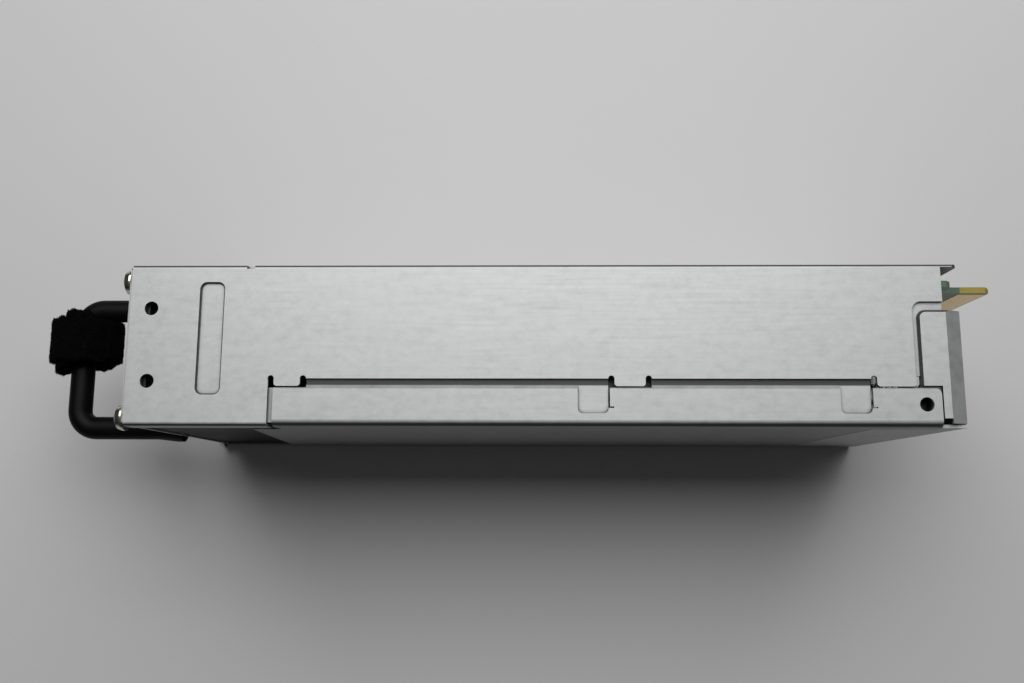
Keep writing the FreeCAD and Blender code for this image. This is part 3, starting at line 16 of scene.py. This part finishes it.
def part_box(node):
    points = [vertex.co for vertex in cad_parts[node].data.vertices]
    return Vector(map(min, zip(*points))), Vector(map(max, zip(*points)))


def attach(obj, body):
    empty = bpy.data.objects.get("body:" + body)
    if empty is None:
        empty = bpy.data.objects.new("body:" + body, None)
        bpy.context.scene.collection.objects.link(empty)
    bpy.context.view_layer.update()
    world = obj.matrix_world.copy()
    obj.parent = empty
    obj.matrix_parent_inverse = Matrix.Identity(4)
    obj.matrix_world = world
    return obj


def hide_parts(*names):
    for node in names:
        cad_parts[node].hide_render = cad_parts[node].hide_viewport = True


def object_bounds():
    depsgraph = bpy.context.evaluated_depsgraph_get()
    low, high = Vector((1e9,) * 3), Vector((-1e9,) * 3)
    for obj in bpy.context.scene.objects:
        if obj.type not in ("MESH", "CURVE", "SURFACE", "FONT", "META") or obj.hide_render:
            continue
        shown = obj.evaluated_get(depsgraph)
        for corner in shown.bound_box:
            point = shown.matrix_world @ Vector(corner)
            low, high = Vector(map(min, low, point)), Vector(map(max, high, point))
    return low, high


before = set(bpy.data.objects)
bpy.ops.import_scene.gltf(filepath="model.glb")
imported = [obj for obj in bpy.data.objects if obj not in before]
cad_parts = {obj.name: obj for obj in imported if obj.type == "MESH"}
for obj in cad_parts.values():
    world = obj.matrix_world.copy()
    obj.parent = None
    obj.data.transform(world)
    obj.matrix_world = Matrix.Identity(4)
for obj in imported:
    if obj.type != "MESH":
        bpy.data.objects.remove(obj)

CAD_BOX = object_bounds()
CORNER = Vector(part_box("chassis_tray")[0])
SEED = 7


def at(x, y, z):
    """A point of the frame from its place in millimetres from the case's corner."""
    return CORNER + Vector((x, y, z)) / 1000


# ---------------------------------------------------------------- materials

BEND_FADE = 0.13
CASE_MIDDLE = 43.0           # half the case's width
# Painted shade: the colour that bends, grooves, sunken strips and the cover's wide side face are
# darkened towards.
PAINTED_SHADE = (0.02, 0.02, 0.02)
# Painted shade: the near black mixed in deep inside holes.
PAINTED_HOLE_SHADE = (0.003, 0.003, 0.003)


def shade(factor, colour):
    """A colour made darker or lighter."""
    return tuple(factor * part for part in colour)


class Nodes:
    """A short way to write a material's node tree."""

    def __init__(self, name):
        self.material = bpy.data.materials.new(name)
        self.material.use_nodes = True
        self.tree = self.material.node_tree
        self.tree.nodes.clear()
        self.output = self.add("ShaderNodeOutputMaterial")
        self.shader = self.add("ShaderNodeBsdfPrincipled")
        self.link(self.shader.outputs[0], self.output.inputs["Surface"])

    def add(self, kind, **settings):
        made = self.tree.nodes.new(kind)
        for key, value in settings.items():
            setattr(made, key, value)
        return made

    def link(self, source, target):
        self.tree.links.new(source, target)

    def set(self, **values):
        for key, value in values.items():
            self.shader.inputs[key.replace("_", " ")].default_value = value

    def place(self, stretch=(1, 1, 1), turn=(0, 0, 0)):
        """Object coordinates, stretched."""
        source = self.add("ShaderNodeTexCoord")
        mapping = self.add("ShaderNodeMapping")
        mapping.inputs["Scale"].default_value = stretch
        mapping.inputs["Rotation"].default_value = turn
        self.link(source.outputs["Object"], mapping.inputs["Vector"])
        return mapping.outputs["Vector"]

    def noise(self, scale, detail=2.0, rough=0.5, stretch=(1, 1, 1), distortion=0.0,
              turn=(0, 0, 0)):
        made = self.add("ShaderNodeTexNoise")
        made.inputs["Scale"].default_value = scale
        made.inputs["Detail"].default_value = detail
        made.inputs["Roughness"].default_value = rough
        made.inputs["Distortion"].default_value = distortion
        self.link(self.place(stretch, turn), made.inputs["Vector"])
        return made.outputs["Fac"]

    def cells(self, scale):
        """Distance from the middle of a cell."""
        made = self.add("ShaderNodeTexVoronoi")
        made.inputs["Scale"].default_value = scale
        self.link(self.place(), made.inputs["Vector"])
        return made.outputs["Distance"]

    def ramp(self, source, stops):
        made = self.add("ShaderNodeValToRGB")
        elements = made.color_ramp.elements
        while len(elements) < len(stops):
            elements.new(0.5)
        for element, (place, colour) in zip(elements, stops):
            element.position = place
            element.color = (*colour, 1)
        self.link(source, made.inputs["Fac"])
        return made.outputs["Color"]

    def grey(self, source, low, high, start=0.0, end=1.0):
        """A value mapped from start..end to low..high."""
        made = self.add("ShaderNodeMapRange")
        made.inputs["From Min"].default_value = start
        made.inputs["From Max"].default_value = end
        made.inputs["To Min"].default_value = low
        made.inputs["To Max"].default_value = high
        self.link(source, made.inputs["Value"])
        return made.outputs["Result"]

    def mix(self, factor, first, second):
        made = self.add("ShaderNodeMix", data_type="RGBA")
        for socket, source in ((made.inputs[0], factor), (made.inputs[6], first),
                               (made.inputs[7], second)):
            if isinstance(source, (int, float)):
                socket.default_value = source
            elif isinstance(source, tuple):
                socket.default_value = (*source, 1)
            else:
                self.link(source, socket)
        return made.outputs[2]

    def math(self, kind, first, second=0.5):
        made = self.add("ShaderNodeMath", operation=kind)
        for socket, source in zip(made.inputs, (first, second)):
            if isinstance(source, (int, float)):
                socket.default_value = source
            else:
                self.link(source, socket)
        return made.outputs[0]

    def bump(self, height, strength, distance, below=None):
        made = self.add("ShaderNodeBump")
        made.inputs["Strength"].default_value = strength
        made.inputs["Distance"].default_value = distance
        self.link(height, made.inputs["Height"])
        if below is not None:
            self.link(below, made.inputs["Normal"])
        self.link(made.outputs["Normal"], self.shader.inputs["Normal"])
        return made.outputs["Normal"]

    def crevice(self, reach):
        """1 on open faces and less in grooves and inner corners."""
        made = self.add("ShaderNodeAmbientOcclusion", samples=8)
        made.inputs["Distance"].default_value = reach
        return made.outputs["AO"]

    def axes(self, output):
        """The three parts of an object coordinate or normal."""
        source = self.add("ShaderNodeTexCoord")
        split = self.add("ShaderNodeSeparateXYZ")
        self.link(source.outputs[output], split.inputs[0])
        return split.outputs

    def bends(self, flat):
        """1 on bends and bevels, whose normals lie between the axes.

        It falls to 0 where the normal's largest part reaches flat.
        """
        x, y, z = (self.math("ABSOLUTE", part) for part in self.axes("Normal"))
        most = self.math("MAXIMUM", self.math("MAXIMUM", x, y), z)
        return self.grey(most, 1.0, 0.0, flat - BEND_FADE, flat)

    def colour(self, source):
        self.link(source, self.shader.inputs["Base Color"])

    def rough(self, source):
        self.link(source, self.shader.inputs["Roughness"])


def joggle_shade(n):
    """Painted shade where the cover's side strips dip under the walls, and nowhere else."""
    middle = at(0, 0, CASE_MIDDLE).z
    level = n.math("ABSOLUTE", n.math("SUBTRACT", n.axes("Object")[2], middle))
    facing = n.math("ABSOLUTE", n.axes("Normal")[2])
    strip = n.grey(n.axes("Object")[1], 0.0, 1.0, at(0, 9.9, 0).y, at(0, 10.2, 0).y)
    sunken = n.grey(level, 0.93, 0.0, 0.0422, 0.0426)
    return n.math("MULTIPLY", n.math("MULTIPLY", sunken, strip), n.grey(facing, 0.0, 1.0, 0.5, 0.7))


def zinc_sheet(name, tone, flat=0.97, joggled=False):
    """Zinc-coated sheet: fine cloudy mottle, rolled grain along X, handling smudges, scratches.

    Painted shade darkens bends, grooves, inner corners and holes, and on a joggled cover
    also the strips under the walls and the wide side face.
    """
    n = Nodes(name)
    mottle = n.noise(430.0, 4.0, 0.62, (0.75, 1.0, 1.0))
    cloud = n.noise(120.0, 3.0, 0.55, (0.6, 1.1, 1.1), 0.3)
    grain = n.noise(1500.0, 3.0, 0.6, (0.035, 1.0, 1.0))
    smudge = n.noise(70.0, 5.0, 0.7, (0.30, 1.5, 1.5), 0.7)
    scratch = n.noise(330.0, 2.0, 0.5, (0.03, 1.4, 1.4), 0.3, (0, 0, 0.10))
    base = n.ramp(mottle, [(0.28, shade(tone, (0.455, 0.465, 0.470))),
                           (0.50, shade(tone, (0.530, 0.538, 0.540))),
                           (0.74, shade(tone, (0.590, 0.596, 0.596)))])
    for mask, colour in ((n.grey(cloud, 0.0, 0.30, 0.35, 0.75), (0.600, 0.606, 0.606)),
                         (n.grey(smudge, 0.0, 0.45, 0.60, 0.80), (0.330, 0.330, 0.325)),
                         (n.grey(grain, 0.0, 0.16, 0.52, 0.78), (0.400, 0.405, 0.405)),
                         (n.grey(scratch, 0.0, 0.20, 0.70, 0.76), (0.74, 0.74, 0.74))):
        base = n.mix(mask, base, shade(tone, colour))
    # Painted shade on bends and bevels.
    bends = n.math("MULTIPLY", n.bends(flat), 0.88)
    if joggled:
        # On the cover the painted bend shade stays on the fold near its lower edge.
        fold = n.grey(n.axes("Object")[1], 1.0, 0.0, at(0, 2.0, 0).y, at(0, 2.6, 0).y)
        bends = n.math("MULTIPLY", bends, fold)
        # Painted shade on the sunken strips under the walls.
        base = n.mix(joggle_shade(n), base, PAINTED_SHADE)
        # Painted shade: faces turned towards -Y, the cover's wide side face, are up to 35 % darker.
        painted_face_shade = n.grey(n.axes("Normal")[1], 0.35, 0.0, -0.98, -0.90)
        base = n.mix(painted_face_shade, base, PAINTED_SHADE)
    base = n.mix(bends, base, PAINTED_SHADE)
    # Painted shade in grooves and inner corners, and near black painted shade deep in holes.
    base = n.mix(n.grey(n.crevice(0.0012), 0.85, 0.0, 0.35, 0.92), base, PAINTED_SHADE)
    n.colour(n.mix(n.grey(n.crevice(0.0045), 0.97, 0.0, 0.16, 0.64), base, PAINTED_HOLE_SHADE))
    n.rough(n.math("ADD", n.grey(mottle, 0.48, 0.60), n.grey(grain, -0.05, 0.06)))
    n.set(Metallic=0.65, IOR=1.6)
    first = n.bump(grain, 0.08, 0.00003)
    n.bump(scratch, 0.08, 0.00004, first)
    return n.material


def black_paint():
    """Semi-gloss powder coat over the steel rod."""
    n = Nodes("black_paint")
    peel = n.noise(900.0, 3.0, 0.6)
    wear = n.noise(120.0, 4.0, 0.6, (1, 1, 1), 0.3)
    n.colour(n.mix(n.grey(wear, 0.0, 0.5, 0.55, 0.8), (0.0022, 0.0022, 0.0024),
                   (0.0048, 0.0048, 0.0052)))
    n.rough(n.grey(wear, 0.42, 0.56))
    n.set(Specular_IOR_Level=0.11)
    n.bump(peel, 0.12, 0.00006)
    return n.material


def nickel(name, colour, rough):
    """Plated or bare bright metal."""
    n = Nodes(name)
    fine = n.noise(1500.0, 3.0, 0.6)
    n.colour(n.mix(n.grey(fine, 0.0, 0.25), colour, shade(0.7, colour)))
    n.rough(n.grey(fine, rough - 0.05, rough + 0.08))
    n.set(Metallic=1.0)
    n.bump(fine, 0.06, 0.00003)
    return n.material


def moulded(name, colour, rough, grain=1200.0, depth=0.00005):
    """Moulded plastic with a fine spark-eroded texture."""
    n = Nodes(name)
    fine = n.noise(grain, 3.0, 0.6)
    broad = n.noise(60.0, 3.0, 0.5)
    n.colour(n.mix(n.grey(broad, 0.0, 0.35, 0.35, 0.75), colour, shade(0.72, colour)))
    n.rough(n.grey(fine, rough - 0.07, rough + 0.07))
    n.set(Specular_IOR_Level=0.45)
    n.bump(fine, 0.22, depth)
    return n.material


def tape_fabric():
    """Black loop pile: matted, nearly without shine."""
    n = Nodes("pile_fabric")
    tuft = n.cells(1500.0)
    matted = n.noise(420.0, 5.0, 0.7, (1, 1, 1), 0.6)
    n.colour(n.ramp(matted, [(0.3, (0.0006, 0.0006, 0.0007)), (0.6, (0.0018, 0.0018, 0.0020)),
                             (0.8, (0.0045, 0.0045, 0.0050))]))
    n.set(Roughness=0.95, Specular_IOR_Level=0.04)
    first = n.bump(tuft, 0.8, 0.0004)
    n.bump(matted, 0.7, 0.0005, first)
    return n.material


def board_laminate():
    """Green solder mask over copper that shows as lighter tracks."""
    n = Nodes("board_laminate")
    tracks = n.cells(260.0)
    n.colour(n.mix(n.grey(tracks, 0.0, 0.5, 0.35, 0.5), (0.028, 0.075, 0.034),
                   (0.045, 0.11, 0.052)))
    n.rough(n.grey(n.noise(500.0), 0.32, 0.45))
    n.set(Specular_IOR_Level=0.5)
    n.bump(tracks, 0.15, 0.00005)
    return n.material


def bare_laminate():
    """Cut glass-epoxy edge, yellow and slightly rough."""
    n = Nodes("bare_laminate")
    layers = n.noise(1400.0, 3.0, 0.6, (0.15, 4.0, 0.15))
    n.colour(n.mix(n.grey(layers, 0.0, 0.7, 0.35, 0.65), (0.30, 0.235, 0.030), (0.20, 0.15, 0.020)))
    n.rough(n.grey(layers, 0.5, 0.7))
    n.bump(layers, 0.2, 0.00005)
    return n.material


def gold_flash():
    """Thin gold over the edge contacts."""
    n = Nodes("gold_flash")
    fine = n.noise(700.0, 3.0, 0.6)
    n.colour(n.mix(n.grey(fine, 0.0, 0.5), (0.80, 0.60, 0.26), (0.62, 0.45, 0.19)))
    n.rough(n.grey(fine, 0.26, 0.38))
    n.set(Metallic=1.0)
    n.bump(fine, 0.05, 0.00003)
    return n.material


def film():
    """Matt black insulating film, slightly rippled."""
    n = Nodes("dark_film")
    ripple = n.noise(45.0, 3.0, 0.5, (1, 1, 1), 0.5)
    n.colour(n.mix(n.grey(ripple, 0.0, 0.6), (0.0018, 0.0018, 0.0020), (0.0045, 0.0045, 0.0048)))
    n.rough(n.grey(ripple, 0.45, 0.6))
    n.set(Specular_IOR_Level=0.15)
    n.bump(ripple, 0.3, 0.0004)
    return n.material


def winding(name, colour):
    """Enamelled wire laid side by side, with painted shade in the grooves between the wires."""
    n = Nodes(name)
    wave = n.add("ShaderNodeTexWave", wave_type="BANDS", bands_direction="Y")
    wave.inputs["Scale"].default_value = 1800.0
    n.link(n.place(), wave.inputs["Vector"])
    # Painted shade: the colour darkens where the bump dips between the wires.
    n.colour(n.mix(wave.outputs["Fac"], shade(0.45, colour), colour))
    n.set(Metallic=0.7, Roughness=0.32)
    n.bump(wave.outputs["Fac"], 0.6, 0.0003)
    return n.material


def clear_guide():
    """Clear moulded light guide."""
    n = Nodes("clear_guide")
    fine = n.noise(600.0)
    n.colour(n.mix(n.grey(fine, 0.0, 0.4), (0.80, 0.83, 0.82), (0.62, 0.66, 0.65)))
    n.rough(n.grey(fine, 0.08, 0.2))
    n.set(Transmission_Weight=0.55, IOR=1.49)
    n.bump(fine, 0.05, 0.00003)
    return n.material


def floor_paper():
    """Pale studio paper with a few specks."""
    n = Nodes("studio_floor")
    soft = n.noise(7.0, 3.0, 0.5)
    speck = n.noise(160.0, 2.0, 0.5)
    tone = n.mix(n.grey(soft, 0.0, 1.0), (0.60, 0.595, 0.598), (0.58, 0.575, 0.578))
    n.colour(n.mix(n.grey(speck, 0.0, 0.05, 0.72, 0.78), tone, (0.35, 0.34, 0.34)))
    n.rough(n.grey(soft, 0.75, 0.85))
    n.set(Specular_IOR_Level=0.2)
    n.bump(n.noise(700.0, 3.0, 0.6), 0.05, 0.0002)
    return n.material


ZINC = zinc_sheet("zinc_sheet", 0.79)
PAINT = black_paint()
NICKEL = nickel("nickel_plate", (0.72, 0.68, 0.60), 0.22)
STEEL = nickel("bright_steel", (0.55, 0.55, 0.55), 0.3)
PILE = tape_fabric()
BOARD = board_laminate()
LAMINATE = bare_laminate()
GOLD = gold_flash()
FILM = film()
BLACK = moulded("black_moulding", (0.012, 0.012, 0.013), 0.45)
EPOXY = moulded("black_epoxy", (0.018, 0.018, 0.019), 0.5)
LATCH = moulded("latch_moulding", (0.42, 0.075, 0.035), 0.42)
NYLON = moulded("white_nylon", (0.70, 0.69, 0.64), 0.4)
COPPER = winding("copper_winding", (0.62, 0.27, 0.11))
TAPE = moulded("winding_tape", (0.60, 0.42, 0.06), 0.35, 300.0)
FERRITE = moulded("ferrite", (0.035, 0.034, 0.033), 0.65, 500.0, 0.0001)
FILM_BOX = moulded("film_capacitor_box", (0.55, 0.36, 0.06), 0.3, 500.0)
SLEEVE = moulded("shrink_sleeve", (0.014, 0.018, 0.045), 0.3, 300.0)
ALUMINIUM = nickel("sink_aluminium", (0.68, 0.69, 0.70), 0.35)

FINISH = {
    "chassis_tray": ZINC, "slide_cover": zinc_sheet("zinc_sheet_cover", 0.77, joggled=True),
    "rear_cover": zinc_sheet("zinc_sheet_rear", 0.80, 0.89), "front_plate": ZINC,
    "fan_guard": ZINC, "latch_bracket": ZINC,
    "front_plate_screws": NICKEL, "fan_screws": NICKEL, "handle": PAINT,
    "main_board": BOARD, "edge_contacts": GOLD, "front_insulator": FILM,
    "base_insulator": FILM, "fan_frame": BLACK,
    "fan_rotor": moulded("fan_wheel", (0.016, 0.016, 0.017), 0.38),
    "fan_magnet": FERRITE, "fan_shaft": STEEL, "fan_stator": COPPER, "fan_bearings": STEEL,
    "fan_lead": moulded("lead_black", (0.012, 0.012, 0.012), 0.4),
    "fan_connector": NYLON, "inlet_body": BLACK,
    "inlet_blades": nickel("blade_plating", (0.74, 0.70, 0.58), 0.25),
    "live_wire": moulded("lead_brown", (0.10, 0.035, 0.015), 0.4),
    "neutral_wire": moulded("lead_blue", (0.02, 0.07, 0.28), 0.4),
    "earth_wire": moulded("lead_green", (0.05, 0.22, 0.05), 0.4),
    "earth_stud": STEEL, "earth_lug": NICKEL, "release_latch": LATCH, "latch_pin": STEEL,
    "latch_spring": STEEL, "status_light_pipe": clear_guide(),
    "status_led": moulded("tinted_lens", (0.06, 0.35, 0.09), 0.2),
    "board_standoffs": STEEL, "board_screws": NICKEL,
    "fuse": moulded("fuse_tube", (0.66, 0.63, 0.55), 0.3), "line_choke_core": FERRITE,
    "line_choke_windings": COPPER, "x_capacitors": FILM_BOX, "bridge_rectifier": EPOXY,
    "relay": BLACK, "pfc_choke_core": FERRITE, "pfc_choke_winding": COPPER,
    "bulk_capacitors": SLEEVE, "primary_heat_sink": ALUMINIUM, "primary_transistors": EPOXY,
    "transformer_core": FERRITE, "transformer_winding": TAPE, "secondary_heat_sink": ALUMINIUM,
    "secondary_transistors": EPOXY, "output_choke": FERRITE, "output_capacitors": SLEEVE,
    "control_board": BOARD, "control_chips": EPOXY,
}


def dress(obj, material):
    """Puts a material on every slot of an object."""
    if not obj.material_slots:
        obj.data.materials.append(material)
    for place in obj.material_slots:
        place.link = "OBJECT"
        place.material = material


for name, material in FINISH.items():
    dress(bpy.data.objects[name], material)


# ---------------------------------------------------------------- helpers for pieces

def finish_mesh(name, mesh, material, smooth_angle=None):
    """Makes an object of the mesh, which rides on the case."""
    made = bpy.data.meshes.new(name)
    mesh.to_mesh(made)
    mesh.free()
    made.validate()
    made.materials.append(material)
    obj = bpy.data.objects.new(name, made)
    bpy.context.scene.collection.objects.link(obj)
    if smooth_angle is not None:
        made.shade_smooth()
        made.set_sharp_from_angle(angle=math.radians(smooth_angle))
    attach(obj, "case")
    return obj


def bevelled_box(mesh, low, high, bevel):
    """A box between two points with rounded edges."""
    size = high - low
    made = bmesh.ops.create_cube(mesh, size=1.0)
    bmesh.ops.scale(mesh, vec=size, verts=made["verts"])
    bmesh.ops.translate(mesh, vec=(low + high) / 2, verts=made["verts"])
    edges = {edge for vert in made["verts"] for edge in vert.link_edges}
    bmesh.ops.bevel(mesh, geom=list(edges), offset=bevel, segments=2, profile=0.5,
                    affect="EDGES")


# ---------------------------------------------------------------- wound strap

BAR = at(-31.6, 26.0, 42.0)                 # the handle's bar in the middle of the tape
# sideways shift of the tape in millimetres, by how many turns it has made
TAPE_SHIFT = ((0.0, 1.2), (0.25, 2.9), (0.5, 2.9), (0.8, 0.6), (1.0, -0.3), (1.25, -0.6),
              (1.5, -2.8), (1.8, -0.8), (2.0, 0.3), (3.2, 0.1))
ACROSS = 30                                 # faces across the tape
TURNS = 3.08
TAPE_WIDE, TAPE_THICK = 0.0125, 0.00150
FIRST_RADIUS, RADIUS_PER_TURN = 0.0043, 0.00172
FREE_END = 0.42                             # turns over which the outer end narrows
RING_COUNT = 230
FIBRE_COUNT = 16000
FIBRE_ROOT = 0.00008                        # depth of a fibre's root in the tape


def shift_at(turn):
    """The tape's sideways shift in metres, eased between the values of TAPE_SHIFT."""
    for (t0, s0), (t1, s1) in zip(TAPE_SHIFT, TAPE_SHIFT[1:]):
        if turn <= t1:
            share = (turn - t0) / (t1 - t0)
            share = share * share * (3 - 2 * share)
            return (s0 + (s1 - s0) * share) / 1000
    return TAPE_SHIFT[-1][1] / 1000


def tape_rings():
    """Cross-sections of a tape wound from the bar outwards, its turns out of line."""
    rng = random.Random(SEED)
    rings = []
    for i in range(RING_COUNT + 1):
        turn = TURNS * i / RING_COUNT
        angle = turn * 2 * math.pi
        radius = FIRST_RADIUS + RADIUS_PER_TURN * turn
        squash = 1 + 0.035 * math.cos(2 * angle)
        wave = 0.00018 * math.sin(7 * angle) + 0.00014 * math.sin(12 * angle + 1)
        out = Vector((math.cos(angle), 0, math.sin(angle)))
        centre = BAR + Vector((0.0001, 0.00135 + shift_at(turn) + wave, 0))
        trim = max(0.0, turn - TURNS + FREE_END) / FREE_END
        ring = []
        for side in (1, -1):
            for j in range(ACROSS + 1):
                t = j / ACROSS if side == 1 else 1 - j / ACROSS
                edge = min(t, 1 - t) * ACROSS
                rim = 0.45 if edge < 0.5 else (0.85 if edge < 1.5 else 1.0)
                fuzz = rng.uniform(-1, 1) * (0.00013 if side == 1 else 0.00004)
                ragged = rng.uniform(-1, 1) * 0.00022 if edge < 0.5 else 0
                reach = radius * squash + side * TAPE_THICK / 2 * rim + fuzz
                y = (t - 0.5) * TAPE_WIDE + ragged
                y *= 1 - trim * (0.20 if t < 0.5 else 0.06)
                ring.append(centre + out * reach + Vector((0, y, 0)))
        rings.append(ring)
    return rings


def wound_tape(rings):
    """Joins the cross-sections into one closed tape."""
    mesh = bmesh.new()
    made = [[mesh.verts.new(point) for point in ring] for ring in rings]
    count = len(made[0])
    for first, second in zip(made, made[1:]):
        for j in range(count):
            k = (j + 1) % count
            mesh.faces.new((first[j], first[k], second[k], second[j]))
    mesh.faces.new(list(reversed(made[0])))
    mesh.faces.new(made[-1])
    bmesh.ops.recalc_face_normals(mesh, faces=mesh.faces)
    tape = finish_mesh("wound_tape", mesh, PILE, smooth_angle=80.0)
    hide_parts("hook_and_loop_strap")


def pile(rings):
    """Short matted fibres that stand out of the tape's faces and cut edges."""
    rng = random.Random(SEED + 1)
    mesh = bmesh.new()
    last = len(rings) - 1
    for _ in range(FIBRE_COUNT):
        i = rng.randrange(int(last * 0.05), last)
        j = rng.choice((0, ACROSS, rng.randrange(ACROSS + 1), rng.randrange(ACROSS + 1)))
        here, there = rings[i][j], rings[i + 1][min(j + 1, ACROSS)]
        root = here.lerp(there, rng.random())
        out = root - BAR
        out.y = 0
        out.normalize()
        lean = Vector((rng.uniform(-1, 1), rng.uniform(-1, 1), rng.uniform(-1, 1)))
        if j in (0, ACROSS):
            lean.y += 1.2 if j == ACROSS else -1.2
        aim = (out * rng.uniform(0.2, 1.0) + lean * 0.7).normalized()
        length = rng.uniform(0.00012, 0.00042)
        wide = aim.orthogonal().normalized() * rng.uniform(0.00003, 0.00006)
        deep = aim.cross(wide)
        foot = root - out * FIBRE_ROOT
        tip = mesh.verts.new(foot + aim * (length + FIBRE_ROOT) + lean * length * 0.2)
        a, b, c = (mesh.verts.new(foot + wide * u + deep * v)
                   for u, v in ((-1, -0.58), (1, -0.58), (0, 1.15)))
        mesh.faces.new((a, c, b))
        mesh.faces.new((a, b, tip))
        mesh.faces.new((b, c, tip))
        mesh.faces.new((c, a, tip))
    fibres = finish_mesh("tape_fibres", mesh, PILE)


RINGS = tape_rings()
wound_tape(RINGS)
pile(RINGS)


# ---------------------------------------------------------------- board edge

TONGUES = ((14.0, 50.5), (53.5, 76.5))      # both tongues of the card edge, low and high
BOARD_FACES = (34.65, 36.15)
EDGE_START, CORNER_START, TIP = 207.5, 213.9, 215.3
BEVEL_START, CORNER_CUT = 214.8, 1.4
SKIN_FACES = (34.63, 36.17)
TIP_FACES = (35.13, 35.67)                  # the tip is thinner, because it is bevelled
SKIN = 0.03
ROUNDING = 0.000005                         # metres, as every bevel is


def corner_skin(mesh, z, sign):
    """Laminate over the slanted corner of a tongue, narrowed where the tip is bevelled."""
    low_face, high_face = SKIN_FACES
    outline = ((CORNER_START, low_face), (BEVEL_START, low_face), (TIP, TIP_FACES[0]),
               (TIP, TIP_FACES[1]), (BEVEL_START, high_face), (CORNER_START, high_face))
    sheets = []
    for lift in (-0.02, SKIN):
        sheets.append([mesh.verts.new(at(x + lift * 0.7, y,
                                         z - sign * (x - CORNER_START - lift * 0.7)))
                       for x, y in outline])
    low, high = sheets
    mesh.faces.new(low)
    mesh.faces.new(high)
    for j in range(len(outline)):
        k = (j + 1) % len(outline)
        mesh.faces.new((low[j], low[k], high[k], high[j]))


def bare_board_edge():
    """The cut edges of the board's tongues show bare laminate."""
    mesh = bmesh.new()
    near, far = BOARD_FACES
    for z0, z1 in TONGUES:
        for z, sign in ((z0, -1), (z1, 1)):
            bevelled_box(mesh, at(EDGE_START, near, min(z, z + sign * SKIN)),
                         at(CORNER_START, far, max(z, z + sign * SKIN)), ROUNDING)
            corner_skin(mesh, z, sign)
        bevelled_box(mesh, at(215.27, TIP_FACES[0], z0 + CORNER_CUT),
                     at(215.33, TIP_FACES[1], z1 - CORNER_CUT), ROUNDING)
    bmesh.ops.recalc_face_normals(mesh, faces=mesh.faces)
    edge = finish_mesh("board_cut_edges", mesh, LAMINATE)


bare_board_edge()


# ---------------------------------------------------------------- studio

FLOOR_HALF = 3.0
LAMP_FROM_MIDDLE = Vector((0.0, 0.28, 0.52))
LAMP_SIZE, LAMP_WATTS = (0.74, 0.52), 4.4
AIR_COLOUR = (0.86, 0.86, 0.88, 1)
AIR_LOW, AIR_HIGH = 0.012, 0.10             # strength up to AIR_START, and straight up
AIR_START = 0.15                            # sine of the height where the air starts to brighten
LENS = 33.219
CAMERA_PLACE = at(99.143, -16.972, 312.832)
CAMERA_TURN = Vector((0.164594, 0.020872, 0.001763))        # axis times angle in radians


def stage_floor():
    """A level floor under the part."""
    mesh = bmesh.new()
    floor_z = CAD_BOX[0][2]
    corners = [mesh.verts.new(Vector((x * FLOOR_HALF, y * FLOOR_HALF, floor_z)))
               for x, y in ((-1, -1), (1, -1), (1, 1), (-1, 1))]
    mesh.faces.new(corners)
    made = bpy.data.meshes.new("studio_floor")
    mesh.to_mesh(made)
    mesh.free()
    made.materials.append(floor_paper())
    obj = bpy.data.objects.new("studio_floor", made)
    bpy.context.scene.collection.objects.link(obj)


def area_light(name, place, aim, size, power):
    """A soft white rectangular lamp that faces aim."""
    data = bpy.data.lights.new(name, "AREA")
    data.shape = "RECTANGLE"
    data.size, data.size_y = size
    data.energy = power
    obj = bpy.data.objects.new(name, data)
    obj.location = place
    obj.rotation_euler = (aim - place).to_track_quat("-Z", "Y").to_euler()
    bpy.context.scene.collection.objects.link(obj)


def studio():
    """One soft lamp above, and air that brightens from the horizon upwards."""
    stage_floor()
    middle = at(100, 20, 40)
    area_light("key_soft", middle + LAMP_FROM_MIDDLE, middle, LAMP_SIZE, LAMP_WATTS)
    world = bpy.data.worlds.new("studio_air")
    world.use_nodes = True
    tree = world.node_tree
    place = tree.nodes.new("ShaderNodeTexCoord")
    split = tree.nodes.new("ShaderNodeSeparateXYZ")
    fade = tree.nodes.new("ShaderNodeMapRange")
    fade.inputs["From Min"].default_value = AIR_START
    fade.inputs["To Min"].default_value = AIR_LOW
    fade.inputs["To Max"].default_value = AIR_HIGH
    tree.links.new(place.outputs["Generated"], split.inputs["Vector"])
    tree.links.new(split.outputs["Z"], fade.inputs["Value"])
    tree.links.new(fade.outputs["Result"], tree.nodes["Background"].inputs["Strength"])
    tree.nodes["Background"].inputs["Color"].default_value = AIR_COLOUR
    bpy.context.scene.world = world


def camera():
    """Looks down on the narrow side and a little of the sliding cover."""
    data = bpy.data.cameras.new("main_view")
    data.sensor_width = 36.0
    data.lens = LENS
    data.clip_start = 0.01
    obj = bpy.data.objects.new("main_view", data)
    rotation = Quaternion(CAMERA_TURN.normalized(), CAMERA_TURN.length).to_matrix().to_4x4()
    obj.matrix_world = Matrix.Translation(CAMERA_PLACE) @ rotation
    bpy.context.scene.collection.objects.link(obj)
    bpy.context.scene.camera = obj
    bpy.context.scene.view_settings.view_transform = "Standard"


studio()
camera()
